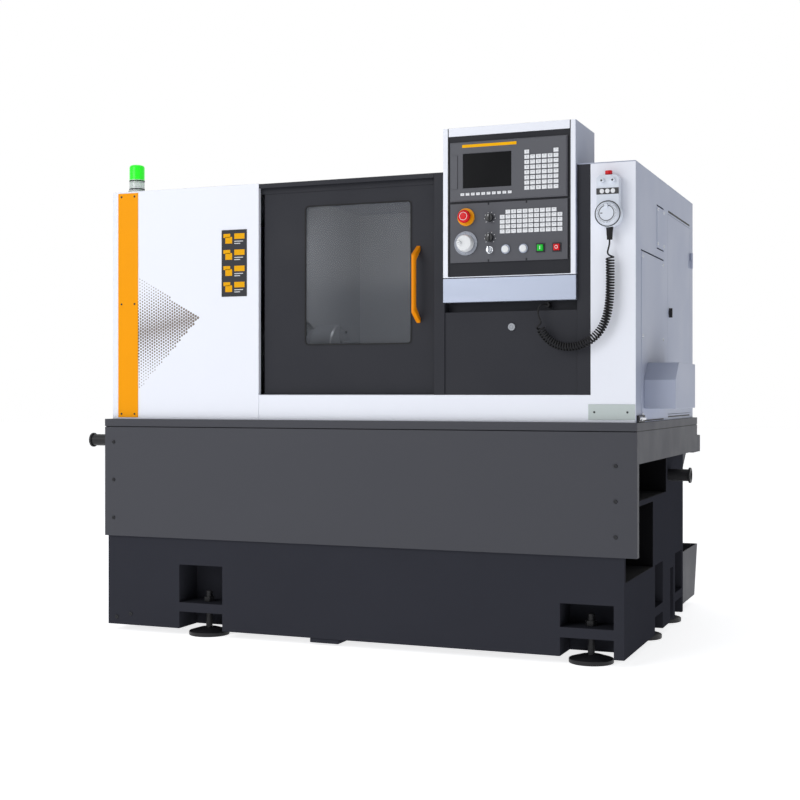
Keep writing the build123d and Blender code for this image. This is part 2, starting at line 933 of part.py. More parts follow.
# Canopy: the roof sheet with its front lip, door guides under it and the louvred rear sheet bent down.
canopy = block(frame_left, side_face, enclosure_front, enclosure_back, roof_bottom, enclosure_top)
canopy += block(
    frame_left, side_face, enclosure_front, frame_inside, enclosure_top - roof_lip, enclosure_top
)
canopy += block(frame_left, side_face, enclosure_back - sheet, enclosure_back, ledge_top, enclosure_top)
canopy += block(
    enclosure_left + sheet, side_face, enclosure_back - sheet, enclosure_back, ledge_top,
    left_cover_top - 2 * sheet,
)
for guide_front in (door_front - slide_gap - sheet, door_back + slide_gap):
    canopy += block(
        track_left, track_right, guide_front, guide_front + sheet, door_top - track_lip, roof_bottom
    )
canopy -= block(
    column_left - edge_gap, side_face + overrun, 0, frame_inside, 0, roof_bottom
)
canopy -= block(
    cabinet_left - edge_gap, cabinet_right + edge_gap, 0, cabinet_back + edge_gap, ledge_top + sheet,
    enclosure_top + overrun,
)
for row in range(vent_count):
    vent_z = vent_bottom + row * vent_pitch
    canopy -= block(
        vent_x, vent_x + vent_length, enclosure_back - sheet - overrun, enclosure_back + overrun,
        vent_z, vent_z + vent_height,
    )
export("canopy", canopy)

# Sliding door: a folded leaf with a rounded window, a pane lapped behind it and a bow handle.
door_leaf = tray(door_left, door_right, door_front, door_back, door_bottom, door_top, sheet)
door_leaf -= rounded_window(
    window_left, window_right, window_bottom, window_top, window_corner,
    door_front - overrun, door_front + sheet + overrun,
)
export("door_leaf", door_leaf)
door_pane = rounded_window(
    window_left - window_lap, window_right + window_lap, window_bottom - window_lap,
    window_top + window_lap, window_corner, door_front + sheet, door_front + sheet + pane_thickness,
)
export("door_pane", door_pane)
grip_front = door_front - handle_reach
grip_back = grip_front + handle_bar
handle_outline = [
    (door_front, handle_bottom),
    (grip_front, handle_bottom + handle_slant),
    (grip_front, handle_top - handle_slant),
    (door_front, handle_top),
    (door_front, handle_top - handle_foot),
    (grip_back, handle_top - handle_slant - handle_foot),
    (grip_back, handle_bottom + handle_slant + handle_foot),
    (door_front, handle_bottom + handle_foot),
]
door_handle = side_profile(handle_outline, handle_x - handle_width / 2, handle_x + handle_width / 2)
grip_edges = [
    edge for edge in door_handle.edges().filter_by(Axis.Z) if edge.center().Y < grip_front + overrun
]
door_handle = chamfer(grip_edges, handle_chamfer)
export("door_handle", door_handle)

# Splash guard: the chamber's folded lining, a wall round the chuck and a wall behind the bed.
bed_slope_low = (bed_front - bed_y) / slope_cosine
bed_low_z = bed_z + bed_slope_low * slope_sine
bed_high_y = bed_y + bed_slope_top * slope_cosine
bed_high_z = bed_z + bed_slope_top * slope_sine
bed_outline = [
    (bed_front, apron_top),
    (bed_front, bed_low_z),
    (bed_high_y, bed_high_z),
    (bed_back, bed_high_z),
    (bed_back, apron_top),
]
guard_bottom = ledge_top
splash_guard = block(
    guard_left, guard_left + sheet, guard_front, guard_back, guard_bottom, roof_bottom
)
splash_guard -= rod(
    chuck_radius + guard_chuck_gap, (guard_left - overrun, spindle_y, spindle_z), RIGHT, sheet + 2 * overrun
)
bed_plane = Plane((guard_left - overrun, 0, 0), x_dir=BACK, z_dir=RIGHT)
bed_face = make_face(Polyline(*bed_outline, close=True))
bed_hole = offset(bed_face, guard_bed_gap, kind=Kind.INTERSECTION)
splash_guard -= extrude(bed_plane * bed_hole, sheet + 2 * overrun)
splash_guard += block(
    guard_left, guard_right, guard_back - sheet, guard_back, guard_bottom, roof_bottom
)
export("splash_guard", splash_guard)

# Slant bed: an iron wedge with two square guideways cast along its sloping face.
bed = side_profile(bed_outline, bed_left, bed_right)
for way in (way_low, way_high):
    bed += slope * block(
        guard_left + 2 * overrun, bed_right, way - way_width / 2, way + way_width / 2, -overrun, way_height
    )
bed += slope * block(
    guard_left + 2 * overrun, guard_left + 2 * overrun + z_support_length, z_screw_slope - z_nut_half,
    z_screw_slope + z_nut_half, -overrun, z_screw_lift + z_nut_half,
)
screw_axis = (slope * Pos(0, z_screw_slope, z_screw_lift)).position
screw_y = screw_axis.Y
screw_z = screw_axis.Z
bed -= rod(
    z_screw_radius + running_fit, (guard_left, screw_y, screw_z), RIGHT, 3 * overrun + z_support_length
)
export("bed", bed)

# Headstock: an iron housing on the bed's slope with a bearing seat at each end of its bore.
headstock_points = [
    (-headstock_foot, 0),
    (headstock_foot, 0),
    (headstock_cheek, centre_over_bed - headstock_waist),
    (headstock_cheek, centre_over_bed + headstock_waist),
    (headstock_crown_half, centre_over_bed + headstock_crown),
    (-headstock_crown_half, centre_over_bed + headstock_crown),
    (-headstock_cheek, centre_over_bed + headstock_waist),
    (-headstock_cheek, centre_over_bed - headstock_waist),
]
end_plane = Plane(
    (headstock_left, bed_y, bed_z), x_dir=(0, slope_cosine, slope_sine), z_dir=RIGHT
)
headstock = extrude(end_plane * make_face(Polyline(*headstock_points, close=True)), headstock_length)
headstock -= rod(
    spindle_radius + running_fit, (headstock_left - overrun, spindle_y, spindle_z), RIGHT,
    headstock_length + 2 * overrun,
)
headstock -= rod(
    headstock_bore, (headstock_left + bearing_length, spindle_y, spindle_z), RIGHT,
    headstock_length - 2 * bearing_length,
)
export("headstock", headstock)

# Spindle: a bored shaft with a nose flange, and the flanged belt pulley keyed on its tail.
tail_end = -spindle_tail_length
nose_end = headstock_length + spindle_nose_length
spindle = turned(
    [
        (spindle_bore, tail_end),
        (spindle_tail_radius, tail_end),
        (spindle_tail_radius, -slide_gap),
        (spindle_radius, -slide_gap),
        (spindle_radius, headstock_length + slide_gap),
        (spindle_collar_radius, headstock_length + slide_gap),
        (spindle_collar_radius, nose_end - spindle_flange_length),
        (spindle_flange_radius, nose_end - spindle_flange_length),
        (spindle_flange_radius, nose_end),
        (spindle_bore, nose_end),
    ],
    (headstock_left, spindle_y, spindle_z),
    RIGHT,
)


def belt_pulley(radius, centre_y, centre_z):
    """A flanged belt pulley of a given running radius, with flats as fine as its teeth."""
    stations = [
        (radius + pulley_flange, 0),
        (radius + pulley_flange, pulley_flange_width),
        (radius, pulley_flange_width),
        (radius, pulley_width - pulley_flange_width),
        (radius + pulley_flange, pulley_width - pulley_flange_width),
        (radius + pulley_flange, pulley_width),
    ]
    return faceted(fine_sides, stations, (pulley_left, centre_y, centre_z), RIGHT)


spindle_pulley = belt_pulley(pulley_radius, spindle_y, spindle_z)
spindle_pulley -= rod(spindle_tail_radius, (pulley_left, spindle_y, spindle_z), RIGHT, pulley_width)
export("spindle", spindle, spindle_pulley)

# Chuck: a bored steel body with three radial jaw slots, and three stepped hard jaws that slide in them.
chuck = turned(
    [
        (chuck_bore, 0),
        (chuck_radius, 0),
        (chuck_radius, chuck_length - chuck_chamfer),
        (chuck_radius - chuck_chamfer, chuck_length),
        (chuck_bore, chuck_length),
    ],
    (spindle_nose, spindle_y, spindle_z),
    RIGHT,
)
jaw_slot = block(
    chuck_face - jaw_slot_depth, chuck_face + overrun, -jaw_width / 2 - slide_gap, jaw_width / 2 + slide_gap,
    jaw_slot_inner, chuck_radius + overrun,
)
jaw_span = jaw_outer - jaw_inner
jaw_foot = chuck_face - jaw_slot_depth + slide_gap
jaw_tip = chuck_face + jaw_height
outer_step, inner_step = [jaw_outer - share * jaw_span for share in jaw_step_radius_shares]
low_step, high_step = [chuck_face + share * jaw_height for share in jaw_step_height_shares]
jaw_points = [
    (jaw_foot, jaw_inner),
    (jaw_tip, jaw_inner),
    (jaw_tip, inner_step),
    (high_step, inner_step),
    (high_step, outer_step),
    (low_step, outer_step),
    (low_step, jaw_outer),
    (jaw_foot, jaw_outer),
]
jaw_face = Plane.XZ.offset(jaw_width / 2) * make_face(Polyline(*jaw_points, close=True))
jaw = extrude(jaw_face, -jaw_width)
spindle_axis = Pos(0, spindle_y, spindle_z)
for number in range(jaw_count):
    jaw_turn = spindle_axis * Rot(number * 360 / jaw_count, 0, 0)
    chuck -= jaw_turn * jaw_slot
    export(f"jaw_{number + 1}", jaw_turn * jaw)
export("chuck_body", chuck)

# Drive motors: the spindle motor on the bed's back and the Z motor in line with its screw.
motor_low = motor_z - motor_size / 2
motor_front = motor_y - motor_size / 2
spindle_motor = block(
    headstock_left, motor_right - motor_cowl_length, motor_front, motor_front + motor_size,
    motor_low, motor_low + motor_size,
)
spindle_motor = chamfer(spindle_motor.edges().filter_by(Axis.X), motor_chamfer)
spindle_motor += block(
    motor_right - motor_cowl_length, motor_right, motor_front + motor_cowl_inset,
    motor_front + motor_size - motor_cowl_inset, motor_low + motor_cowl_inset,
    motor_low + motor_size - motor_cowl_inset,
)
spindle_motor += block(
    headstock_left, motor_right - motor_cowl_length, bed_back, motor_y,
    motor_low + motor_chamfer, motor_low + motor_size - motor_chamfer,
)
spindle_motor -= rod(
    motor_shaft_radius + running_fit, (headstock_left - overrun, motor_y, motor_z), RIGHT,
    motor_shaft_depth + overrun,
)
bracket_right = bed_right + z_bracket_length
z_half = z_motor_size / 2
z_motor = block(
    bed_right, bracket_right + z_motor_length, screw_y - z_half, screw_y + z_half,
    screw_z - z_half, screw_z + z_half,
)
z_motor -= rod(z_motor_nose, (bed_right - overrun, screw_y, screw_z), RIGHT, coupling_room + overrun)
z_motor -= rod(
    z_screw_radius + running_fit, (bed_right, screw_y, screw_z), RIGHT, z_bracket_length + z_motor_nose
)
export("drive_motors", spindle_motor, z_motor)

# Motor pulley: turned in one with the motor's shaft end, and the belt that joins it to the spindle.
motor_pulley = belt_pulley(motor_pulley_radius, motor_y, motor_z)
shaft_reach = headstock_left - pulley_left + motor_shaft_depth - slide_gap
motor_pulley += rod(motor_shaft_radius, (pulley_left, motor_y, motor_z), RIGHT, shaft_reach)
export("motor_pulley", motor_pulley)


def belt_loop(extra):
    """The belt's outline round both pulleys, a given distance outside them."""
    spindle_round = Pos(spindle_y, spindle_z) * Circle(pulley_radius + extra)
    motor_round = Pos(motor_y, motor_z) * Circle(motor_pulley_radius + extra)
    return make_hull(spindle_round.edges() + motor_round.edges())


belt_left = pulley_left + pulley_flange_width + slide_gap
belt_width = pulley_width - 2 * (pulley_flange_width + slide_gap)
belt_plane = Plane((belt_left, 0, 0), x_dir=BACK, z_dir=RIGHT)
belt = extrude(belt_plane * belt_loop(slide_gap + belt_thickness), belt_width)
belt -= extrude(belt_plane * belt_loop(slide_gap), belt_width)
export("belt", belt)

# Z screw: a ground bar between the bed's left bearing and the Z motor.
z_screw_left = guard_left + 2 * overrun
z_screw_right = bracket_right + z_motor_nose - slide_gap
z_screw = rod(z_screw_radius, (z_screw_left, screw_y, screw_z), RIGHT, z_screw_right - z_screw_left)
export("z_screw", z_screw)

# Saddle: a plate with shoes on the guideways, a nut below, cross ways on top and the X motor at its end.
saddle = slope * block(saddle_left, saddle_right, saddle_low, saddle_high, saddle_lift, saddle_top)
for way in (way_low, way_high):
    shoe_half = way_width / 2 + saddle_shoe
    shoe = block(
        saddle_left, saddle_right, way - shoe_half, way + shoe_half, way_height / 2, saddle_lift
    )
    shoe -= block(
        saddle_left - overrun, saddle_right + overrun, way - way_width / 2 - slide_gap,
        way + way_width / 2 + slide_gap, 0, way_height + slide_gap,
    )
    saddle += slope * shoe
saddle += slope * block(
    screw_middle_x - z_nut_length / 2, screw_middle_x + z_nut_length / 2, z_screw_slope - z_nut_half,
    z_screw_slope + z_nut_half, slide_lift, saddle_lift,
)
saddle -= rod(
    z_screw_radius + running_fit, (saddle_left - overrun, screw_y, screw_z), RIGHT,
    saddle_length + 2 * overrun,
)
for way_x in (saddle_left + x_way_inset, saddle_right - x_way_inset):
    saddle += slope * block(
        way_x - x_way_width / 2, way_x + x_way_width / 2, saddle_low, saddle_high,
        saddle_top, saddle_top + x_way_height,
    )
for support_low in (saddle_low, saddle_high - x_support_length):
    saddle += slope * block(
        screw_middle_x - x_support_width / 2, screw_middle_x + x_support_width / 2, support_low,
        support_low + x_support_length, saddle_top, saddle_top + x_support_height,
    )
x_screw_height = saddle_top + x_screw_lift
x_screw_hole = slope * Pos(screw_middle_x, saddle_low - overrun, x_screw_height)
up_slope = (0, slope_cosine, slope_sine)
saddle_span = saddle_high - saddle_low
saddle -= rod(
    x_screw_radius + running_fit, x_screw_hole.position, up_slope, saddle_span + 2 * overrun
)
x_half = x_motor_size / 2
x_motor = slope * block(
    screw_middle_x - x_half, screw_middle_x + x_half, saddle_high, saddle_high + x_motor_length,
    x_screw_height - x_half, x_screw_height + x_half,
)
x_motor_end = slope * Pos(screw_middle_x, saddle_high, x_screw_height)
x_motor -= rod(x_screw_radius + running_fit, x_motor_end.position, up_slope, x_support_length)
export("saddle", saddle, x_motor)

# X screw: a ground bar in the saddle's two supports, ending in the X motor.
x_screw_start = slope * Pos(screw_middle_x, saddle_low, x_screw_height)
x_screw = rod(x_screw_radius, x_screw_start.position, up_slope, saddle_span + x_support_length - slide_gap)
export("x_screw", x_screw)

# Cross slide: a plate grooved over the cross ways with a nut in its tunnel, and the turret's housing on top.
cross_slide = block(saddle_left, saddle_right, slide_low, slide_high, slide_bottom, slide_face)
for way_x in (saddle_left + x_way_inset, saddle_right - x_way_inset):
    cross_slide -= block(
        way_x - x_way_width / 2 - slide_gap, way_x + x_way_width / 2 + slide_gap, slide_low - overrun,
        slide_high + overrun, slide_bottom - overrun, saddle_top + x_way_height + slide_gap,
    )
tunnel_half = slide_screw_tunnel / 2
tunnel_top = saddle_top + x_support_height + slide_lift
cross_slide -= block(
    screw_middle_x - tunnel_half, screw_middle_x + tunnel_half, slide_low - overrun,
    slide_high + overrun, slide_bottom - overrun, tunnel_top,
)
nut_low = (slide_low + slide_high - x_nut_length) / 2
cross_slide += block(
    screw_middle_x - x_nut_width / 2, screw_middle_x + x_nut_width / 2, nut_low, nut_low + x_nut_length,
    saddle_top + slide_lift / 2, tunnel_top,
)
turret_body = block(
    saddle_left, saddle_left + turret_body_length, turret_body_low, slide_high,
    slide_face, slide_face + turret_body_height,
)
top_edges = turret_body.faces().sort_by(Axis.Z)[-1].edges().filter_by(Axis.X)
cross_slide += chamfer(top_edges, turret_body_chamfer)
cross_slide = slope * cross_slide
cross_slide -= rod(
    x_screw_radius + running_fit, x_screw_hole.position, up_slope, saddle_span + 2 * overrun
)
turret_axis = (slope * Pos(0, turret_slope, centre_over_bed)).position
shaft_end = saddle_left + turret_shaft_length
cross_slide -= rod(
    turret_shaft_radius + running_fit, (saddle_left - overrun, turret_axis.Y, turret_axis.Z), RIGHT,
    turret_shaft_length + overrun,
)
export("cross_slide", cross_slide)

# Turret: an eight-sided disc on a shaft, with a turning tool clamped on every other flat.
turret = prism(
    turret_sides, turret_radius, (turret_left, turret_axis.Y, turret_axis.Z), RIGHT, turret_thickness
)
turret += rod(
    turret_shaft_radius, (turret_left, turret_axis.Y, turret_axis.Z), RIGHT,
    shaft_end - turret_left - slide_gap,
)
turret += prism(
    turret_sides, turret_hub_radius, (turret_left - turret_hub_height, turret_axis.Y, turret_axis.Z), RIGHT,
    turret_hub_height,
)
tools = []
tool_low = tool_reach - tool_overlap
for number in range(tool_count):
    shank = block(
        turret_left - tool_depth, turret_left, -tool_width / 2, tool_width / 2, tool_low,
        tool_reach - tool_tip_length,
    )
    tip_points = [
        (-tool_width / 2, tool_reach - tool_tip_length),
        (tool_width / 2, tool_reach - tool_tip_length),
        (tool_width / 2, tool_reach),
    ]
    tip = side_profile(tip_points, turret_left - tool_depth, turret_left - tool_depth / 2)
    turn = Pos(0, turret_axis.Y, turret_axis.Z) * Rot(number * 360 / tool_count, 0, 0)
    tools.append(turn * (shank + tip))
export("turret", turret, *tools)

# Control cabinet: a deep sheet box open at the front inside a narrow border, standing through the roof.
cabinet = block(cabinet_left, cabinet_right, cabinet_front, cabinet_back, cabinet_bottom, cabinet_top)
cabinet -= block(
    cabinet_left + sheet, cabinet_right - sheet, cabinet_front + sheet, cabinet_back - sheet,
    cabinet_bottom + sheet, cabinet_top - sheet,
)
cabinet -= block(
    cabinet_left + cabinet_stile, cabinet_right - cabinet_stile,
    cabinet_front - overrun, panel_back + overrun,
    cabinet_bottom + sheet, cabinet_top - cabinet_header,
)
export("control_cabinet", cabinet)

# Panel plate: the black plate behind the border, with the raised operator panel, collars and dial ring.
panel_plate = block(
    cabinet_left + cabinet_stile - panel_lap, cabinet_right - cabinet_stile + panel_lap, panel_back,
    panel_back + sheet, cabinet_bottom + sheet, cabinet_top - cabinet_header + panel_lap,
)
panel_plate += block(
    unit_left, unit_right, operator_face, panel_back, operator_bottom, operator_bottom + operator_height
)
round_x = button_x_values[:2]
square_x = button_x_values[2:]
collar_front = operator_face - button_collar_proud
for x in round_x:
    panel_plate += prism(cap_sides, button_collar, (x, operator_face, button_z), FRONT, button_collar_proud)
    panel_plate -= prism(
        cap_sides, button_radius + slide_gap, (x, collar_front + button_hole_depth, button_z),
        FRONT, button_hole_depth,
    )
for x in square_x:
    collar_half = square_collar / 2
    half = square_button / 2 + slide_gap
    panel_plate += block(
        x - collar_half, x + collar_half, collar_front, operator_face,
        button_z - collar_half, button_z + collar_half,
    )
    panel_plate -= block(
        x - half, x + half, collar_front - overrun, collar_front + button_hole_depth,
        button_z - half, button_z + half,
    )
panel_plate += prism(fine_sides, stop_ring_radius, (stop_x, operator_face, stop_z), FRONT, stop_ring_proud)
panel_plate += prism(fine_sides, dial_ring_radius, (wheel_x, operator_face, wheel_z), FRONT, dial_ring_proud)
panel_plate -= prism(
    cap_sides, stop_neck_radius + slide_gap, (stop_x, operator_face - stop_ring_proud + stub_depth, stop_z),
    FRONT, stub_depth,
)
panel_plate -= stub_hole(
    stub_sides, spindle_stub_radius, (wheel_x, operator_face - dial_ring_proud, wheel_z), BACK, stub_depth
)
for z in (*knob_z_values, button_z):
    x = key_x if z == button_z else knob_x
    panel_plate -= stub_hole(stub_sides, spindle_stub_radius, (x, operator_face, z), BACK, stub_depth)
export("panel_plate", panel_plate)

# Display unit: a moulded bezel with a screen recess and a card-slot cover beside it.
display = block(
    unit_left, unit_right, display_face, panel_back, display_bottom, display_bottom + display_height
)
display = chamfer(display.faces().sort_by(Axis.Y)[0].edges(), display_corner)
display -= block(
    screen_left, screen_left + screen_width, display_face - overrun, display_face + screen_recess,
    screen_bottom, screen_bottom + screen_height,
)
display += block(
    card_left, card_left + card_width, display_face - card_proud, display_face,
    card_bottom, card_bottom + card_height,
)
export("display_unit", display)


def key_grid(columns, rows, left, top, pitch_x, pitch_z, width, height, face, leave):
    """A field of moulded keys on a face, less the cells that the layout leaves empty."""
    keys = []
    for column in range(columns):
        for row in range(rows):
            if not leave(column, row):
                x = left + column * pitch_x
                z = top - row * pitch_z
                keys.append(block(x, x + width, face - key_proud, face, z - height, z))
    return keys


def letter_gap(column, row):
    """The top row keeps only its end keys."""
    return row == 0 and 0 < column < letter_columns - 1


def mode_gap(column, row):
    """The end columns start one row lower."""
    return row == 0 and column in (0, mode_columns - 1)


soft_keys = key_grid(
    soft_key_count, 1, soft_key_left, soft_key_z + soft_key_height / 2, soft_key_pitch, 0, soft_key_width,
    soft_key_height, display_face, lambda column, row: False,
)
letter_keys = key_grid(
    letter_columns, letter_rows, letter_left, letter_top, letter_pitch_x, letter_pitch_z, letter_width,
    letter_height, display_face, letter_gap,
)
mode_keys = key_grid(
    mode_columns, mode_rows, mode_left, mode_top, mode_pitch_x, mode_pitch_z, mode_width, mode_height,
    operator_face, mode_gap,
)
export("keypads", *soft_keys, *letter_keys, *mode_keys)

# Emergency stop: a mushroom head on a neck that pushes into its ring.
stop_seat = operator_face - stop_ring_proud
estop_points = [
    (stop_neck_radius, -stub_depth + stop_travel + slide_gap),
    (stop_neck_radius, stop_neck_length),
    (stop_radius, stop_neck_length),
    (stop_radius, stop_neck_length + stop_cap_height - stop_crown),
    (stop_radius - stop_crown, stop_neck_length + stop_cap_height),
]
export("estop_button", faceted(cap_sides, estop_points, (stop_x, stop_seat, stop_z), FRONT))

# Handwheel: a knob turned with a tapered rim, a spinner grip and a stub in the dial ring.
wheel_seat = operator_face - dial_ring_proud - slide_gap
handwheel = faceted(
    fine_sides, [(wheel_radius, 0), (wheel_top_radius, wheel_height)], (wheel_x, wheel_seat, wheel_z), FRONT
)
handwheel += prism(
    stub_sides, wheel_grip_radius, (wheel_x + wheel_grip_offset, wheel_seat - wheel_height, wheel_z), FRONT,
    wheel_grip_height,
)
handwheel += prism(
    stub_sides, spindle_stub_radius, (wheel_x, wheel_seat, wheel_z), BACK, stub_depth - slide_gap
)
export("handwheel", handwheel)

# Override knobs: fluted knobs with a pointer rib, each on a stub in the panel.
knob_seat = operator_face - slide_gap
for name, z in zip(("feed", "spindle"), knob_z_values):
    knob = prism(stub_sides, knob_radius, (knob_x, knob_seat, z), FRONT, knob_height)
    knob += block(
        knob_x - knob_pointer / 2, knob_x + knob_pointer / 2, knob_seat - knob_height - knob_pointer / 2,
        knob_seat - knob_height, z - knob_radius / 2, z + knob_radius,
    )
    knob += prism(stub_sides, spindle_stub_radius, (knob_x, knob_seat, z), BACK, stub_depth - slide_gap)
    export(f"override_knob_{name}", knob)

# Key switch: a round barrel with the flat bow of its key.
key_switch = prism(stub_sides, key_radius, (key_x, knob_seat, button_z), FRONT, key_height)
key_switch += block(
    key_x - key_bow_width / 2, key_x + key_bow_width / 2, knob_seat - key_height - key_bow_reach,
    knob_seat - key_height, button_z - key_bow_height / 2, button_z + key_bow_height / 2,
)
key_switch += prism(
    stub_sides, spindle_stub_radius, (key_x, knob_seat, button_z), BACK, stub_depth - slide_gap
)
export("key_switch", key_switch)

# Push buttons: two round and two square caps, each guided in its collar.
button_start = collar_front - button_proud
button_end = collar_front + button_hole_depth - button_travel - slide_gap
for name, x in zip(("left", "right"), round_x):
    cap = prism(cap_sides, button_radius, (x, button_end, button_z), FRONT, button_end - button_start)
    export(f"round_button_{name}", cap)
for name, x in zip(("start", "stop"), square_x):
    half = square_button / 2
    cap = block(x - half, x + half, button_start, button_end, button_z - half, button_z + half)
    rim_edges = cap.faces().sort_by(Axis.Y)[0].edges()
    export(f"{name}_button", chamfer(rim_edges, button_travel / 2))

# Column posts: two folded channels from the front frame to the roof, either side of the cabinet.
posts = []
for post_left, post_right in ((column_left, cabinet_left), (cabinet_right, column_right)):
    post = block(
        post_left, post_right, enclosure_front, enclosure_front + post_depth, front_strip_top, roof_bottom
    )
    post -= block(
        post_left + sheet, post_right - sheet, enclosure_front + sheet,
        enclosure_front + post_depth + overrun, front_strip_top - overrun, roof_bottom + overrun,
    )
    posts.append(post)
posts[0] -= block(
    column_left - overrun, track_right + sheet,
    door_front - 2 * sheet, enclosure_front + post_depth + overrun,
    door_top - track_lip - sheet, roof_bottom + overrun,
)
posts[0] -= block(
    column_left - overrun, track_right + sheet, frame_inside, enclosure_front + post_depth + overrun,
    front_strip_top - overrun, door_bottom + sheet,
)
export("column_posts", *posts)

# Silver panel: a folded tray between the posts, under the cabinet.
export(
    "name_panel",
    tray(
        cabinet_left, cabinet_right, cabinet_front, cabinet_front + name_panel_depth,
        name_panel_bottom, name_panel_top, sheet,
    ),
)

# Lower panel: one sheet folded back into the cord slot, up to the silver panel, with a round lock.
fold_outline = [
    (lower_panel_front, front_strip_top),
    (lower_panel_front + sheet, front_strip_top),
    (lower_panel_front + sheet, slot_bottom - sheet),
    (slot_back + sheet, slot_bottom - sheet),
    (slot_back + sheet, name_panel_top),
    (slot_back, name_panel_top),
    (slot_back, slot_bottom),
    (lower_panel_front, slot_bottom),
]
lower_panel = side_profile(fold_outline, cabinet_left, cabinet_right)
lower_panel -= stub_hole(
    cap_sides, lock_radius / 2, (lock_x, lower_panel_front - overrun, lock_z), BACK, sheet + 2 * overrun
)
export("lower_panel", lower_panel)
lock_seat = lower_panel_front - slide_gap
panel_lock = prism(cap_sides, lock_radius, (lock_x, lock_seat, lock_z), FRONT, lock_proud)
panel_lock += prism(cap_sides, lock_radius / 2, (lock_x, lock_seat, lock_z), BACK, 2 * sheet)
panel_lock -= block(
    lock_x - lock_slot_width / 2, lock_x + lock_slot_width / 2, lock_seat - lock_proud - overrun,
    lock_seat - lock_proud / 2, lock_z - lock_radius / 2, lock_z + lock_radius / 2,
)
export("panel_lock", panel_lock)

# Right side panel: one sheet with an opening for the electrical door, a window for the Z motor, two screwed
# covers standing on it and the fixed halves of the door's hinges.
side_panel = block(side_face - sheet, side_face, frame_inside, enclosure_back - sheet, ledge_top, roof_bottom)
side_panel += block(
    side_face, cover_face, small_cover_front, small_cover_back, small_cover_bottom, small_cover_top
)
side_panel += block(
    side_face, cover_face, large_cover_front, small_cover_back, large_cover_bottom, large_cover_top
)
side_panel -= block(
    side_face - sheet - overrun, side_face + overrun, electrical_front, electrical_back,
    electrical_bottom, electrical_top,
)
window_half = motor_window / 2
side_panel -= block(
    side_face - sheet - overrun, cover_face + overrun, screw_y - window_half, screw_y + window_half,
    screw_z - window_half, screw_z + window_half,
)
for slot_front, slot_z in (
    (small_cover_front, small_cover_top),
    (small_cover_front, small_cover_bottom - 2 * finger_slot),
    (large_cover_front, large_cover_top),
):
    side_panel -= block(
        side_face - sheet - overrun, side_face + overrun, slot_front, small_cover_back,
        slot_z + finger_slot / 2, slot_z + 3 * finger_slot / 2,
    )
hinge_x = side_face + hinge_radius
hinge_y = electrical_back + electrical_gap
leaf_thickness = hinge_radius / 2
half_hinge = hinge_length / 2
for hinge_z in hinge_z_values:
    barrel_low = hinge_z + slide_gap
    side_panel += prism(stub_sides, hinge_radius, (hinge_x, hinge_y, barrel_low), UP, half_hinge)
    side_panel += block(
        side_face, side_face + leaf_thickness, hinge_y, hinge_y + hinge_leaf,
        barrel_low, barrel_low + half_hinge,
    )
    side_panel += prism(stub_sides, hinge_pin_radius, (hinge_x, hinge_y, barrel_low), DOWN, half_hinge)
export("right_side_panel", side_panel)

# Electrical door: a folded tray flush with the side panel, on two lift-off hinges, with a turning latch.
electrical_door = block(
    side_face - sheet - electrical_return, side_face, electrical_front + electrical_gap,
    electrical_back - electrical_gap, electrical_bottom + electrical_gap, electrical_top - electrical_gap,
)
electrical_door -= block(
    side_face - sheet - electrical_return - overrun, side_face - sheet,
    electrical_front + electrical_gap + sheet, electrical_back - electrical_gap - sheet,
    electrical_bottom + electrical_gap + sheet, electrical_top - electrical_gap - sheet,
)
for hinge_z in hinge_z_values:
    electrical_door += prism(
        stub_sides, hinge_radius, (hinge_x, hinge_y, hinge_z - half_hinge), UP, half_hinge
    )
    electrical_door += block(
        side_face, side_face + leaf_thickness, hinge_y - hinge_leaf, hinge_y, hinge_z - half_hinge, hinge_z
    )
    electrical_door -= stub_hole(
        stub_sides, hinge_pin_radius, (hinge_x, hinge_y, hinge_z - half_hinge - overrun), UP,
        half_hinge + 2 * overrun,
    )
electrical_door -= stub_hole(
    cap_sides, latch_radius / 2, (side_face - sheet - overrun, latch_y, latch_z), RIGHT, sheet + 2 * overrun
)
export("electrical_door", electrical_door)
latch_seat = side_face + slide_gap
latch = prism(cap_sides, latch_radius, (latch_seat, latch_y, latch_z), RIGHT, latch_proud)
latch += prism(cap_sides, latch_radius / 2, (latch_seat - 2 * sheet, latch_y, latch_z), RIGHT, 2 * sheet)
latch += block(
    latch_seat, latch_seat + latch_grip_proud, latch_y - latch_grip_width / 2, latch_y + latch_grip_width / 2,
    latch_z - latch_grip_length / 2, latch_z + latch_grip_length / 2,
)
export("electrical_latch", latch)

# Electrical box: a sheet box behind the electrical door, with a row of drive units on its back wall.
electrical_box = block(
    electrical_box_left, side_face - sheet, electrical_box_front, electrical_box_back,
    electrical_box_bottom, electrical_box_top,
)
electrical_box -= block(
    electrical_box_left + sheet, side_face + overrun,
    electrical_box_front + sheet, electrical_box_back - sheet,
    electrical_box_bottom + sheet, electrical_box_top - sheet,
)
drive_left = electrical_box_left + sheet
drive_row = (drive_count - 1) * drive_pitch + drive_width
drive_start = (electrical_box_front + electrical_box_back - drive_row) / 2
for number in range(drive_count):
    drive_front = drive_start + number * drive_pitch
    electrical_box += block(
        drive_left, drive_left + drive_depth, drive_front, drive_front + drive_width,
        drive_bottom, drive_bottom + drive_height,
    )
export("electrical_box", electrical_box)

# Motor hood: a folded cover over the Z motor's end, with a slanted front corner.


def hood_outline(wall):
    """The hood's side outline, drawn in by its wall."""
    corner = wall * tan(radians(45) / 2)
    return [
        (hood_front + wall, hood_bottom + wall),
        (hood_front + wall, hood_nose_top - corner),
        (hood_front + hood_slant + corner, hood_top - wall),
        (hood_back - wall, hood_top - wall),
        (hood_back - wall, hood_bottom + wall),
    ]


hood = side_profile(hood_outline(0), cover_face, cover_face + hood_reach)
hood -= side_profile(hood_outline(sheet), cover_face - overrun, cover_face + hood_reach - sheet)
export("motor_hood", hood)

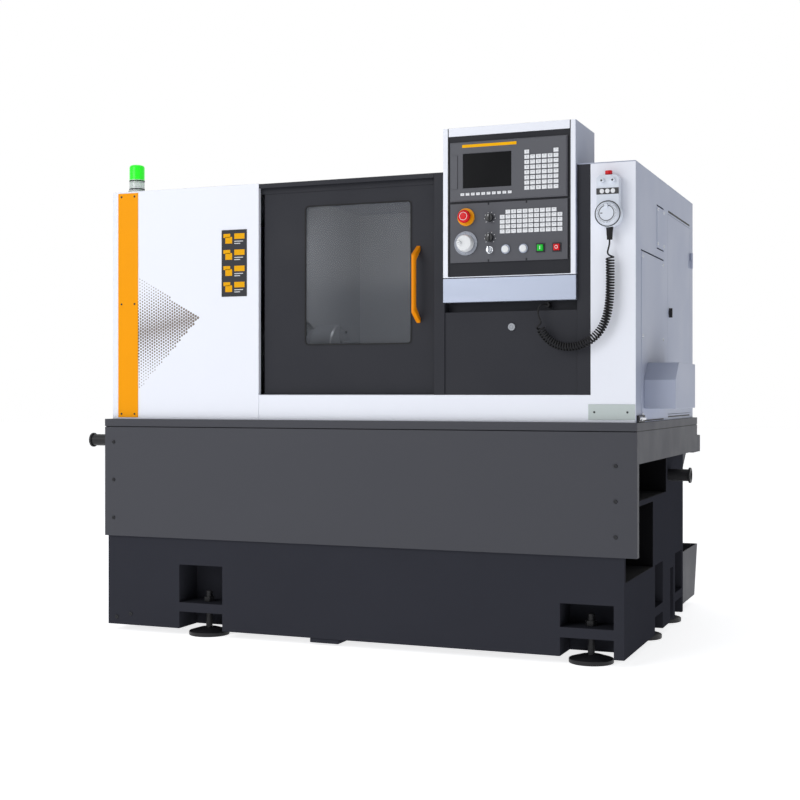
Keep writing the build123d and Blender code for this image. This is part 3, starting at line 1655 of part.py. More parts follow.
# Pendant: a moulded case with a round lower end, two selector knobs, a lamp band and a block behind it.
pendant = block(
    pendant_x - pendant_half_width, pendant_x + pendant_half_width, pendant_front, pendant_back,
    pendant_bottom, pendant_top,
)
pendant = chamfer(pendant.edges().filter_by(Axis.Y).sort_by(Axis.Z)[-2:], pendant_half_width / 4)
pendant += prism(
    fine_sides, pendant_round, (pendant_x, pendant_back, pendant_dial_z), FRONT, pendant_thickness
)
pendant += block(
    pendant_x - pendant_half_width, pendant_x + pendant_half_width, pendant_front - pendant_band_proud,
    pendant_front, pendant_band_z - pendant_band_height / 2, pendant_band_z + pendant_band_height / 2,
)
for side in (-1, 1):
    knob_start = (pendant_x + side * pendant_knob_offset, pendant_front, pendant_knob_z)
    pendant += prism(stub_sides, pendant_knob_radius, knob_start, FRONT, pendant_knob_height)
pendant += block(
    pendant_x - pendant_hook_width / 2, pendant_x + pendant_hook_width / 2, pendant_back, enclosure_front,
    pendant_hook_bottom, pendant_hook_bottom + pendant_hook_height,
)
pendant -= stub_hole(
    cap_sides, pendant_hub_radius, (pendant_x, pendant_front, pendant_dial_z), BACK, stub_depth
)
stop_hole_bottom = pendant_top - pendant_stop_stem
pendant -= prism(
    stub_sides, pendant_stop_radius / 2 + slide_gap, (pendant_x, pendant_middle, stop_hole_bottom), UP,
    pendant_stop_stem + overrun,
)
export("pendant_body", pendant)
dial_seat = pendant_front - slide_gap
pendant_dial = faceted(
    fine_sides,
    [(pendant_dial_radius, 0), (pendant_dial_top, pendant_dial_height)],
    (pendant_x, dial_seat, pendant_dial_z),
    FRONT,
)
pendant_dial += prism(
    cap_sides, pendant_hub_radius, (pendant_x, dial_seat, pendant_dial_z), BACK, stub_depth - slide_gap
)
pendant_dial += prism(
    stub_sides, pendant_grip_radius,
    (pendant_x, dial_seat - pendant_dial_height, pendant_dial_z + pendant_grip_offset), FRONT,
    pendant_grip_height,
)
export("pendant_dial", pendant_dial)
stop_stem_end = pendant_top - pendant_stop_stem + pendant_stop_travel + slide_gap
stop_head = pendant_top + pendant_stop_travel + slide_gap
pendant_stop = prism(
    stub_sides, pendant_stop_radius / 2, (pendant_x, pendant_middle, stop_stem_end), UP,
    stop_head - stop_stem_end,
)
pendant_stop += prism(
    stub_sides, pendant_stop_radius, (pendant_x, pendant_middle, stop_head), UP, pendant_stop_height
)
export("pendant_stop", pendant_stop)

# Strain reliefs: a tapered boot under the pendant and a round gland in the cord slot.
curl_start = curl_route[0]
gland_top = pendant_dial_z - pendant_round + sheet
boot = faceted(
    stub_sides, [(gland_low_radius, 0), (gland_top_radius, gland_top - curl_start[2])], curl_start, UP
)
boot -= prism(
    fine_sides, pendant_round + slide_gap, (pendant_x, pendant_back, pendant_dial_z), FRONT, pendant_thickness
)
tail_end_point = tail_route[-1]
slot_gland = prism(
    stub_sides, slot_gland_radius, (tail_end_point[0], slot_back, tail_end_point[2]), FRONT,
    slot_back - tail_end_point[1],
)
export("cord_glands", boot, slot_gland)


def cord_tube(route, sides, radius):
    """A tube of few flats along a route of straight runs and the largest tangent arcs that they allow."""
    points = [Vector(*point) for point in route]
    radii = []
    for before, here, after in zip(points, points[1:], points[2:]):
        turn = (here - before).get_angle(after - here)
        shorter = min((here - before).length, (after - here).length)
        radii.append(arc_share * shorter / tan(radians(turn) / 2))
    path = FilletPolyline(*points, radius=radii)
    start = Plane(points[0], z_dir=points[1] - points[0])
    return sweep(start * RegularPolygon(radius, sides), path=path)


# Curly cord: the coil as one tube of its outer diameter, and the plain tail into the slot's gland.
export("cord_curl", cord_tube(curl_route, cord_sides, curl_radius))
export("cord_tail", cord_tube(tail_route, cord_sides, tail_radius))
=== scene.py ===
import json
from math import cos, pi, radians, sin
import bmesh
import bpy
from mathutils import Matrix, Vector

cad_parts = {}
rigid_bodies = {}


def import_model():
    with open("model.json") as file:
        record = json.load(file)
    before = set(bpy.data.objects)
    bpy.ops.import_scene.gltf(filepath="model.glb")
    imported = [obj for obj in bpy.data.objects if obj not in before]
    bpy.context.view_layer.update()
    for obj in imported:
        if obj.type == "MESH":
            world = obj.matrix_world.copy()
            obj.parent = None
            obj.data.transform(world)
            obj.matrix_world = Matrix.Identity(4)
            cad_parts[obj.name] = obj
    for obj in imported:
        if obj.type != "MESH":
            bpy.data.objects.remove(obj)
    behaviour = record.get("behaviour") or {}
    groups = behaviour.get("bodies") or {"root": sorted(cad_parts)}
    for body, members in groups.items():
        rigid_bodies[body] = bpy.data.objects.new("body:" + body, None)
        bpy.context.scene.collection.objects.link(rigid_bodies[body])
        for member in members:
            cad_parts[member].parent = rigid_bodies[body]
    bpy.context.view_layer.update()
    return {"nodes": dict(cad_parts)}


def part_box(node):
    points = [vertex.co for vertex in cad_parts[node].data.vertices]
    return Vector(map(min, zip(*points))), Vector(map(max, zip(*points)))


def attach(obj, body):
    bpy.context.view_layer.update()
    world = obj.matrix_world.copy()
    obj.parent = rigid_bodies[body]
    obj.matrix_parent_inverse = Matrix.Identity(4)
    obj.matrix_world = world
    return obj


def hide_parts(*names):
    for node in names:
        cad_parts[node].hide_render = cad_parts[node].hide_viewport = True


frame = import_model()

# Base and feet: a grey iron casting with chip bays open to the right end, powder coated charcoal in a darker
# copy that is painted shade.
# It stands on six pressed levelling feet, each with a stud and a lock nut in a niche of the casting.
# A lift pad is cast under its front edge, and thin black sheets inside the bays are painted shade.
FRONT, RIGHT = (0, -1, 0), (1, 0, 0)
ORIGIN_X, ORIGIN_Y = 1.5, 723.85  # where the scene's origin lies on the machine's drawing
MERGE_GAP = 2e-6


def at(x, y, z):
    """A place on the machine's drawing, in millimetres, as a point of the scene in metres."""
    return Vector(((x - ORIGIN_X) / 1000, (y - ORIGIN_Y) / 1000, z / 1000))


def on_drawing(point):
    """A point of the scene as x, y and z on the machine's drawing."""
    return point[0] * 1000 + ORIGIN_X, point[1] * 1000 + ORIGIN_Y, point[2] * 1000


def tint(code):
    """A paint chip's colour code as linear light."""
    shares = [int(code[k:k + 2], 16) / 255 for k in (1, 3, 5)]
    return [((s + 0.055) / 1.055) ** 2.4 if s > 0.04045 else s / 12.92 for s in shares] + [1]


def add_node(tree, kind, values):
    """A new shader node with these sockets set."""
    node = tree.nodes.new("ShaderNode" + kind)
    for socket, value in values.items():
        node.inputs[socket].default_value = value
    return node


def surface(name, code, rough, metal=0.0, mottle=0.05, grain=350, bump=0.06, stretch=(1, 1, 1), shine=0.5):
    """A finish with a slow drift of tone and sheen over it and a fine grain on top."""
    material = bpy.data.materials.new(name)
    material.use_nodes = True
    tree, links = material.node_tree, material.node_tree.links
    shader = tree.nodes["Principled BSDF"]
    shader.inputs["Metallic"].default_value = metal
    shader.inputs["Specular IOR Level"].default_value = shine
    place = add_node(tree, "TexCoord", {})
    spread = add_node(tree, "Mapping", {"Scale": stretch})
    cloud = add_node(tree, "TexNoise", {"Scale": 5, "Detail": 6})
    fine = add_node(tree, "TexNoise", {"Scale": grain, "Detail": 2})
    links.new(place.outputs["Object"], spread.inputs["Vector"])
    for noise in (cloud, fine):
        links.new(spread.outputs["Vector"], noise.inputs["Vector"])
    tone = add_node(tree, "Mix", {})
    tone.data_type = "RGBA"
    fac_in, dark_in, light_in, colour_out = 0, 6, 7, 2  # the mix node's sockets for colours
    for socket, level in ((dark_in, 1 - mottle), (light_in, 1 + mottle)):
        tone.inputs[socket].default_value = [min(1, c * level) for c in tint(code)[:3]] + [1]
    links.new(cloud.outputs["Fac"], tone.inputs[fac_in])
    links.new(tone.outputs[colour_out], shader.inputs["Base Color"])
    smoothest, roughest = max(0.02, rough - 0.06), min(1.0, rough + 0.08)
    sheen = add_node(
        tree, "MapRange", {"From Min": 0.3, "From Max": 0.7, "To Min": smoothest, "To Max": roughest}
    )
    links.new(cloud.outputs["Fac"], sheen.inputs["Value"])
    links.new(sheen.outputs["Result"], shader.inputs["Roughness"])
    relief = add_node(tree, "Bump", {"Strength": bump, "Distance": 0.0006})
    links.new(fine.outputs["Fac"], relief.inputs["Height"])
    links.new(relief.outputs["Normal"], shader.inputs["Normal"])
    return material


def finished(name, bm, materials, body, slot, *stands_for):
    """Closes a mesh, shades it smooth between its sharp edges and puts it on its body."""
    bmesh.ops.remove_doubles(bm, verts=bm.verts, dist=MERGE_GAP)
    bmesh.ops.recalc_face_normals(bm, faces=bm.faces)
    mesh = bpy.data.meshes.new(name)
    bm.to_mesh(mesh)
    bm.free()
    mesh.shade_smooth()
    mesh.set_sharp_from_angle(angle=radians(32))
    for material in materials if isinstance(materials, list) else [materials]:
        mesh.materials.append(material)
    piece = bpy.data.objects.new(name, mesh)
    bpy.context.scene.collection.objects.link(piece)
    even = piece.modifiers.new("even_shading", "WEIGHTED_NORMAL")
    even.keep_sharp = True
    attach(piece, body)
    if stands_for:
        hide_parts(*stands_for)
    return piece


def packed_copy(node, whole_faces=False):
    """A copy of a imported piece's mesh, its loose triangles joined, into whole flat faces if asked."""
    source = frame["nodes"][node]
    bm = bmesh.new()
    bm.from_mesh(source.data)
    bm.transform(source.matrix_world)
    bmesh.ops.remove_doubles(bm, verts=bm.verts, dist=MERGE_GAP)
    if whole_faces:
        bmesh.ops.dissolve_limit(bm, angle_limit=radians(1), verts=bm.verts, edges=bm.edges)
    return bm


def break_edges(bm, edges, width, segments=2, clamp=True):
    """Rounds edges off by a width in millimetres."""
    bmesh.ops.bevel(
        bm, geom=edges, offset=width / 1000, offset_type="OFFSET", affect="EDGES", segments=segments,
        profile=0.5, material=-1, clamp_overlap=clamp,
    )


def sharp_edges(bm, degrees):
    """The edges whose two faces turn by more than that."""
    return [e for e in bm.edges if len(e.link_faces) == 2 and e.calc_face_angle() > radians(degrees)]


def softened(node, width, materials, slot, choose=None, split_x=None):
    """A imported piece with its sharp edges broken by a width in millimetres.

    Where it has several finishes, choose picks one for a face by its middle, and the faces
    are first cut at split_x on the drawing, if that is given, so that a finish can end there.
    """
    bm = packed_copy(node, whole_faces=True)
    if split_x:
        everything = bm.verts[:] + bm.edges[:] + bm.faces[:]
        bmesh.ops.bisect_plane(bm, geom=everything, plane_co=at(split_x, 0, 0), plane_no=RIGHT)
    break_edges(bm, sharp_edges(bm, 35), width)
    for face in bm.faces:
        face.material_index = choose(face.calc_center_median()) if choose else 0
    body = frame["nodes"][node].parent.name.split(":")[1]
    return finished(node + "_finished", bm, materials, body, slot, node)


def dress(material, *nodes):
    """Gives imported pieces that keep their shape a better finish."""
    for node in nodes:
        slot = frame["nodes"][node].material_slots[0]
        slot.link = "OBJECT"
        slot.material = material


def block(bm, x_span, y_span, z_span, soft=0.0):
    """A box between two drawing sizes each way, with its edges broken by soft millimetres."""
    low, high = (at(*corner) for corner in zip(x_span, y_span, z_span))
    size = Matrix.Diagonal([*(high - low), 1])
    made = bmesh.ops.create_cube(bm, size=1, matrix=Matrix.Translation((low + high) / 2) @ size)
    if soft:
        edges = {edge for vert in made["verts"] for edge in vert.link_edges}
        break_edges(bm, list(edges), soft, clamp=False)


def blocks(name, spans, material, body, slot):
    """One piece made of boxes, each given as block takes it."""
    bm = bmesh.new()
    for span in spans:
        block(bm, *span)
    return finished(name, bm, material, body, slot)


def screw_heads(name, places, axis, radius, height, material, body="machine", slot="steel"):
    """Button-head screws with round sockets, seated at places on the drawing."""
    crown, rim, socket_depth = 0.82, 0.4, 0.6  # shares of the head's radius and height
    draft = 0.0002
    bm = bmesh.new()
    axis = Vector(axis)
    turn = axis.to_track_quat("Z", "Y").to_matrix().to_4x4()
    for place in places:
        seat = at(*place) + axis * (height / 2000)
        made = bmesh.ops.create_cone(
            bm, cap_ends=True, segments=24, radius1=radius / 1000, radius2=radius * crown / 1000,
            depth=height / 1000, matrix=Matrix.Translation(seat) @ turn,
        )
        faces = {face for vert in made["verts"] for face in vert.link_faces}
        top = max(faces, key=lambda face: face.calc_center_median().dot(axis))
        bmesh.ops.inset_individual(bm, faces=[top], thickness=radius * rim / 1000, depth=0)
        bmesh.ops.inset_individual(bm, faces=[top], thickness=draft, depth=-height * socket_depth / 1000)
    return finished(name, bm, material, body, slot)


dark_screw = surface("blackened_screw", "#2c2d30", 0.4, metal=0.6)
black_paint = surface("black_paint", "#1d1d20", 0.45, shine=0.3)
# The base's charcoal is a darker copy of the charcoal coat: painted shade, not a different paint.
base_in_painted_shade = surface("matte_base_coat", "#36373e", 0.85, shine=0.0)
# Near-black for thin sheets inside the chip bays: painted shade in their hollows.
bay_black = surface("bay_black", "#0c0c0f", 0.8, shine=0.1)
dress(base_in_painted_shade, "base")
softened("levelling_feet", 1.5, black_paint, "charcoal")
softened("drain_pipes", 1, black_paint, "pipe_black")
screw_heads("base_plugs", [(-969, 12, 52), (-907, 12, 67)], FRONT, radius=8, height=3, material=dark_screw)
blocks("base_lift_pad", [((-165, -52), (16, 90), (8, 25), 4)], base_in_painted_shade, "machine", "charcoal")
bay_length = (-900, on_drawing(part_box("base")[1])[0] - 0.5)
bay_front, shade_sheet_thickness = 33, 1
shade_sheet_spans = []
for bay_back, bay_floor, bay_top in ((490, 275, 510), (740, 527, 665)):
    shade_sheet_spans += [
        (bay_length, (bay_front, bay_back), (bay_floor, bay_floor + shade_sheet_thickness)),
        (bay_length, (bay_front, bay_back), (bay_top - shade_sheet_thickness, bay_top)),
        (bay_length, (bay_back - shade_sheet_thickness, bay_back), (bay_floor + shade_sheet_thickness, bay_top - shade_sheet_thickness)),
    ]
# These black sheets paint the shade inside the bays.
blocks("bay_linings", shade_sheet_spans, bay_black, "machine", "charcoal")

# Apron and ledge: folded steel sheets screwed round the casting under a thick drip ledge.
# Both carry the same charcoal coat, and the screws are blackened button heads.
# Strips of rubber seal the joint between the ledge and the covers at both ends.
charcoal = surface("charcoal_coat", "#46474d", 0.55, shine=0.2)
black_rubber = surface("black_rubber", "#19191b", 0.6, shine=0.25)
softened("apron", 1.2, charcoal, "charcoal")
softened("ledge", 3, charcoal, "charcoal")
apron_places = [(-975, 0, z) for z in (713, 571, 428)] + [(943, 0, z) for z in (659, 543, 427)]
screw_heads("apron_screws", apron_places, FRONT, radius=7, height=3, material=dark_screw)
seal_width, seal_run, seal_rise = 9, (4, 1166), (769.9, 773.1)
seals = [((seal_x, seal_x + seal_width), seal_run, seal_rise) for seal_x in (-1012, 1003)]
blocks("ledge_seals", seals, black_rubber, "machine", "rubber_black")

# Coolant tank and pump: a welded steel tank pushed in behind the base with an upright pump on its lid.
# The tank is charcoal, the pump motor black.
motor_black = surface("motor_black", "#26272a", 0.42)
softened("coolant_tank", 2, charcoal, "charcoal")
softened("coolant_pump", 2, motor_black, "motor_black")

# Bed, headstock and carriage: scraped iron castings on the slanted bed, with ground steel screws.
# The motors and belt drive sit at the left end behind the headstock.
cast_iron = surface("painted_iron", "#8d9194", 0.5)
ground_steel = surface("ground_steel", "#aeb2b8", 0.28, metal=0.9, grain=500, stretch=(1, 1, 6))
dress(cast_iron, "bed", "headstock", "saddle", "cross_slide")
dress(ground_steel, "spindle", "z_screw", "x_screw", "motor_pulley")
dress(black_rubber, "belt")
dress(motor_black, "drive_motors")

# Chuck, jaws and turret: hardened and ground steel, the jaws stepped and each held by a cap screw.
# The turret disc carries its tools in seats, with two clamp screws on each tool.
LEFT = (-1, 0, 0)
chuck_steel = surface("chuck_steel", "#c3c6cb", 0.3, metal=0.85, grain=400)
softened("chuck_body", 1, chuck_steel, "steel")
spindle_y, spindle_z, jaw_screw_reach = 400, 1060, 71
jaw_seat = on_drawing(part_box("jaw_1")[1])[0] - 11.88
for number, jaw in enumerate(("jaw_1", "jaw_2", "jaw_3")):
    softened(jaw, 0.8, ground_steel, "steel")
    lean = radians(120 * number)
    seat = (jaw_seat, spindle_y - jaw_screw_reach * sin(lean), spindle_z + jaw_screw_reach * cos(lean))
    screw_heads(jaw + "_screw", [seat], RIGHT, radius=5.5, height=3, material=dark_screw, body=jaw)
softened("turret", 1.5, ground_steel, "steel")
turret_low, turret_high = (on_drawing(corner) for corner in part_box("turret"))
turret_y, turret_z = ((turret_low[k] + turret_high[k]) / 2 for k in (1, 2))
tool_places = []
for quarter in range(4):
    lean = radians(90 * quarter)
    for reach in (96, 116):
        tool_places.append((turret_low[0], turret_y - reach * sin(lean), turret_z + reach * cos(lean)))
screw_heads("tool_screws", tool_places, LEFT, radius=4.5, height=2, material=dark_screw, body="turret")

# Enclosure: white powder coated covers and frame bent from sheet, with the white darkened to pale grey on the
# roof and the side as painted shade.
# The roof's front lip and the door's guides under it are charcoal in painted shade, and rubber closes the rear
# joint and vent.
# The splash guard inside closes the chamber round the bed.
cover_white = surface("white_coat", "#f1f4fe", 0.5, mottle=0.02)
# The white coat darkened to pale grey: painted shade for the side, the roof, the hood and the cabinet's right
# wall.
white_in_painted_shade = surface("pale_grey_coat", "#a9b0c4", 0.5, mottle=0.02)
# A darker copy of the charcoal coat: painted shade for the door, the posts, the lower cover and the roof's lip.
charcoal_in_painted_shade = surface("dark_charcoal_coat", "#2c2d33", 0.55, shine=0.18)
guard_grey = surface("guard_grey_coat", "#b9bdc4", 0.5, mottle=0.04, bump=0.01)
guide_right, guide_back, guide_low, guide_high = 330, 90, 1600, 1655.2
lip_right = 304


def roof_finish(point):
    """Charcoal in painted shade for the roof's front lip and the door's guides, pale grey painted shade for the
    rest.
    """
    x, y, z = on_drawing(point)
    return 1 if x < guide_right and y < guide_back and guide_low < z < guide_high else 0


softened("left_cover", 2, cover_white, "cover_white")
softened("front_frame", 1.5, cover_white, "cover_white")
softened("canopy", 1.5, [white_in_painted_shade, charcoal_in_painted_shade], "side_grey", roof_finish, lip_right)
rear_seal = ((-994, -370), (1108, 1114.5), (1650.6, 1653.9))
blocks("rear_seal", [rear_seal], black_rubber, "machine", "rubber_black")
vent_filter = ((-700, -460), (1104, 1111.9), (1140, 1325), 1)
blocks("vent_filter", [vent_filter], black_rubber, "machine", "rubber_black")
dress(guard_grey, "splash_guard", "electrical_box")

# Trim strip: an orange folded strip down the left cover, held by six screws.
# Beside it the cover is printed with a wedge of brown-grey halftone dots, largest along its ridge.
strip_orange = surface("orange_coat", "#fba200", 0.45, mottle=0.04, shine=0.12)
dot_ink = surface("dot_ink", "#776b64", 0.6, mottle=0.08)
facing_front = Matrix.Rotation(radians(90), 4, "X")


def dot(bm, x, y, z, radius):
    """A flat round spot of ink that faces the front."""
    place = Matrix.Translation(at(x, y, z)) @ facing_front
    bmesh.ops.create_circle(bm, cap_ends=True, segments=12, radius=radius / 1000, matrix=place)


softened("trim_strip", 0.7, strip_orange, "strip_orange")
strip_places = [(x, 18, z) for x in (-952, -895) for z in (819, 1233, 1638)]
screw_heads("strip_screws", strip_places, FRONT, radius=4, height=1.4, material=dark_screw)
wedge = [Vector((-882, 1339)), Vector((-616, 1177)), Vector((-886, 900))]
wedge_sides = list(zip(wedge, wedge[1:] + wedge[:1]))
tip, root = wedge[1], (wedge[0] + wedge[2]) / 2
ridge = (root - tip).normalized()
dot_middle, dot_pitch, row_share, dot_lean = Vector((-800, 1150)), 11.4, 0.87, radians(31)
largest, smallest, fading, half_width = 5.2, 1.9, 0.8, 210
print_y, rows_each_way = 19.85, 30
bm = bmesh.new()
for row in range(-rows_each_way, rows_each_way + 1):
    for column in range(-rows_each_way, rows_each_way + 1):
        step = Vector((column + 0.5 * (row % 2), row * row_share)) * dot_pitch
        spot = dot_middle + Matrix.Rotation(dot_lean, 2) @ step
        turns = [(b - a).cross(spot - a) for a, b in wedge_sides]
        if max(turns) <= 0 or min(turns) >= 0:
            off = abs(ridge.cross(spot - tip)) / half_width
            dot(bm, spot.x, print_y, spot.y, max(smallest, largest * (1 - fading * off)))
finished("halftone_dots", bm, dot_ink, "machine", "cover_white")

# Sign plate: a thin dark plate stuck on the left cover, with four rows of plain printed marks.
# The blocks are amber ink, the thin lines under them white.
plate_dark = surface("plate_dark", "#2a2b30", 0.45, shine=0.25)
amber_ink = surface("amber_ink", "#eeac0c", 0.45, shine=0.1)
line_ink = surface("line_ink", "#d4d5d8", 0.5)
plate_span, ink = ((-523, -419), (18.6, 20), (1250, 1494), 0.4), (18.2, 18.6)
blocks("sign_plate", [plate_span], plate_dark, "machine", "cover_white")
bars, lines = [], []
for row_top in (1480, 1421, 1362, 1303):
    bars += [
        ((-515, -487), ink, (row_top - 14, row_top)),
        ((-507, -479), ink, (row_top - 36, row_top - 12)),
        ((-470, -428), ink, (row_top - 20, row_top)),
    ]
    lines += [
        ((-470, -434), ink, (row_top - 30, row_top - 27)),
        ((-470, -446), ink, (row_top - 38, row_top - 35)),
    ]
blocks("sign_bars", bars, amber_ink, "machine", "cover_white")
blocks("sign_lines", lines, line_ink, "machine", "cover_white")

# Signal lamp: a green moulded lens on a clear ribbed base, screwed to the roof's front left corner.
# The lens glows a little.
UP = (0, 0, 1)


def adjust(material, socket, value):
    """Sets one more socket of a finish's shader."""
    material.node_tree.nodes["Principled BSDF"].inputs[socket].default_value = value


def lathe(bm, points, centre, axis, steps=48):
    """A turned shape from (radius, height) points along its axis."""
    axis = Vector(axis)
    across = axis.orthogonal().normalized()
    middle = at(*centre)
    verts = [bm.verts.new(middle + across * (r / 1000) + axis * (h / 1000)) for r, h in points]
    edges = [bm.edges.new(pair) for pair in zip(verts, verts[1:])]
    bmesh.ops.spin(
        bm, geom=verts + edges, cent=middle, axis=axis, angle=2 * pi, steps=steps, use_merge=True
    )


def band(inner, outer, low, high):
    """The closed section of a plain ring."""
    return [(inner, low), (outer, low), (outer, high), (inner, high), (inner, low)]


def turned(name, points, centres, axis, steps, material, body, slot, *stands_for):
    """One piece with the same turned shape at each centre."""
    bm = bmesh.new()
    for centre in centres:
        lathe(bm, points, centre, axis, steps)
    return finished(name, bm, material, body, slot, *stands_for)


lamp_green = surface("lamp_green", "#12d812", 0.25, mottle=0.03)
adjust(lamp_green, "Emission Color", tint("#10f010"))
adjust(lamp_green, "Emission Strength", 0.45)
lamp_clear = surface("lamp_clear", "#e4e8ea", 0.18)
adjust(lamp_clear, "Transmission Weight", 0.55)
lens_foot, lamp_foot = (-920, 75, 1709), (-920, 75, 1657)
lens_points = [(0, 0), (28.5, 0), (28.5, 46), (27.6, 50), (25, 53.5), (19, 55.6), (0, 56)]
turned("lamp_lens_moulding", lens_points, [lens_foot], UP, 48, lamp_green, "machine", "lamp_green", "lamp_lens")
foot_points = [(0, 0), (33, 0), (33, 9), (32, 10), (28.5, 10), (28.5, 52), (0, 52)]
turned("lamp_base_moulding", foot_points, [lamp_foot], UP, 48, lamp_clear, "machine", "lamp_clear", "lamp_base")
bm = bmesh.new()
for rib in (14, 45):
    lathe(bm, band(28.5, 29.3, rib, rib + 4), lamp_foot, UP)
finished("lamp_bands", bm, plate_dark, "machine", "lamp_clear")

# Door: a charcoal sheet leaf, its charcoal a darker copy in painted shade, that slides left behind the cover,
# with a laminated window in a rubber seal.
# The handle is a bent orange bar bolted through the leaf.
handle_orange = surface("handle_orange", "#f59300", 0.42, mottle=0.05, shine=0.2)
glass = surface("window_glass", "#4c4f54", 0.08, mottle=0.02, bump=0.0, shine=0.3)
adjust(glass, "Alpha", 0.34)
softened("door_leaf", 1.5, charcoal_in_painted_shade, "charcoal")
bar_middle, slim = at(240, 0, 1275), 0.46
grip_inside, foot_back, foot_reach, thinning = 11, 44, 0.12, 0.008
bm = packed_copy("door_handle", whole_faces=True)
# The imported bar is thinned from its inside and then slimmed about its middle.
for vert in bm.verts:
    height, depth = vert.co.z - bar_middle.z, on_drawing(vert.co)[1]
    inside = abs(depth - grip_inside) < 1
    if inside or (depth > foot_back and abs(height) < foot_reach):
        vert.co.z += thinning if height > 0 else -thinning
    if inside:
        vert.co.y -= thinning
bmesh.ops.scale(bm, vec=(slim, 1, 1), space=Matrix.Translation(-bar_middle), verts=bm.verts)
break_edges(bm, sharp_edges(bm, 20), 3.5, segments=3)
finished("door_handle_bar", bm, handle_orange, "door", "handle_orange", "door_handle")
dress(glass, "door_pane")
seal_middle, seal_wide, seal_tall = at(8.5, 47.5, 1319), 0.413, 0.502
seal_corner, seal_lip, seal_height = 0.016, 0.005, 0.0045
bm = bmesh.new()
made = bmesh.ops.create_grid(
    bm, x_segments=1, y_segments=1, size=0.5,
    matrix=Matrix.Translation(seal_middle) @ facing_front @ Matrix.Diagonal((seal_wide, seal_tall, 1, 1)),
)
bmesh.ops.bevel(
    bm, geom=made["verts"], offset=seal_corner, offset_type="OFFSET", affect="VERTICES", segments=6,
    profile=0.5, material=-1,
)
opening = bm.faces[:]
bmesh.ops.inset_region(bm, faces=opening, thickness=seal_lip, use_even_offset=True, use_boundary=True)
bmesh.ops.delete(bm, geom=opening, context="FACES")
raised = bmesh.ops.extrude_face_region(bm, geom=bm.faces[:])
raised_verts = [part for part in raised["geom"] if isinstance(part, bmesh.types.BMVert)]
bmesh.ops.translate(bm, verts=raised_verts, vec=(0, -seal_height, 0))
finished("window_seal", bm, black_rubber, "door", "rubber_black")

# Control column: a sheet cabinet between two charcoal posts, with a silver panel and a lift-out cover below.
# The posts and the cover take the charcoal in painted shade, and the cabinet's right wall the pale grey painted
# shade.
# The cover is held by one quarter-turn lock.
silver = surface("brushed_silver", "#a3abbd", 0.38, metal=0.55, grain=500, stretch=(1, 1, 14))
lock_steel = surface("lock_steel", "#8b8e94", 0.45, metal=0.7)
cabinet_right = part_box("control_cabinet")[1][0] - 0.001


def cabinet_side_shade(point):
    """The cabinet's right wall takes the pale grey painted shade of the machine's side over its white."""
    return 1 if point.x > cabinet_right else 0


softened("control_cabinet", 2, [cover_white, white_in_painted_shade], "cover_white", cabinet_side_shade)
softened("column_posts", 1.5, charcoal_in_painted_shade, "charcoal")
groove_width = 3
grooves = [((x, x + groove_width), (3.7, 4.2), (1294, 1799)) for x in (362.5, 789.5)]
blocks("cabinet_grooves", grooves, black_paint, "machine", "charcoal")
softened("name_panel", 1, silver, "silver")
softened("lower_panel", 1.2, charcoal_in_painted_shade, "charcoal")
lock_seat = (584, 23.7, 1120)
lock_head = [(0, 5), (5, 5), (5, 3.6), (6.5, 3.6), (6.5, 5), (11.5, 5), (13, 3.5), (13, 0), (0, 0)]
lock_stem = [(0, 0), (6.4, 0), (6.4, -6), (0, -6)]
bm = bmesh.new()
for points in (lock_head, lock_stem):
    lathe(bm, points, lock_seat, FRONT)
finished("panel_lock_turned", bm, lock_steel, "panel_lock", "silver", "panel_lock")

# Panel plate: a dark plate screwed in the cabinet, with a raised grey operator panel below the display.
# The stop ring is yellow and the dial ring under the handwheel is anodised grey.
panel_dark = surface("panel_dark", "#212228", 0.5, shine=0.2)
operator_grey = surface("operator_grey", "#55565c", 0.5, shine=0.25)
stop_yellow = surface("stop_yellow", "#f2a20c", 0.42, shine=0.2)
dial_grey = surface("dial_grey", "#858993", 0.4, metal=0.5)
# Dark ink for printed marks, also used for the painted shadow ring round the pendant's dial.
ring_marks = surface("ring_marks", "#2b2c30", 0.5)
plate_finishes = [panel_dark, operator_grey, stop_yellow, dial_grey, plate_dark]
stop_x, stop_z, stop_ring = 430, 1494, 31
wheel_x, wheel_z, dial_ring = 429, 1405, 42
raised_front, operator_front = 0.9, 6.9


def plate_finish(point):
    """The number of the finish that a face of the panel plate takes, by where it lies."""
    x, y, z = on_drawing(point)
    if y >= raised_front:
        return 1 if y < operator_front else 0
    if (x - stop_x) ** 2 + (z - stop_z) ** 2 < stop_ring ** 2:
        return 2
    return 3 if (x - wheel_x) ** 2 + (z - wheel_z) ** 2 < dial_ring ** 2 else 4


def ring_tick(bm, centre, degrees, reach, width, length):
    """A thin mark on a dial that faces the front, with its middle at that reach from the centre."""
    turn = Matrix.Rotation(radians(degrees), 4, "Y")
    place = Matrix.Translation(at(*centre)) @ turn @ Matrix.Translation((0, 0, reach / 1000))
    size = Matrix.Diagonal((width / 1000, 0.0003, length / 1000, 1))
    bmesh.ops.create_cube(bm, size=1, matrix=place @ size)


softened("panel_plate", 0.5, plate_finishes, "panel_black", plate_finish)
tick_count, tick_end, long_tick, short_tick = 50, 39.6, 6.5, 4
bm = bmesh.new()
for tick in range(tick_count):
    length = long_tick if tick % 5 == 0 else short_tick
    ring_tick(bm, (wheel_x, -3.1, wheel_z), tick * 360 / tick_count, tick_end - length / 2, 0.7, length)
finished("dial_ring_marks", bm, ring_marks, "machine", "panel_black")
notch_rises = ((1532, 1540), (1340, 1348))
notches = [((x - 2.5, x + 2.5), (0.4, 1), rise) for x in (509, 642) for rise in notch_rises]
blocks("operator_notches", notches, panel_dark, "machine", "panel_black")

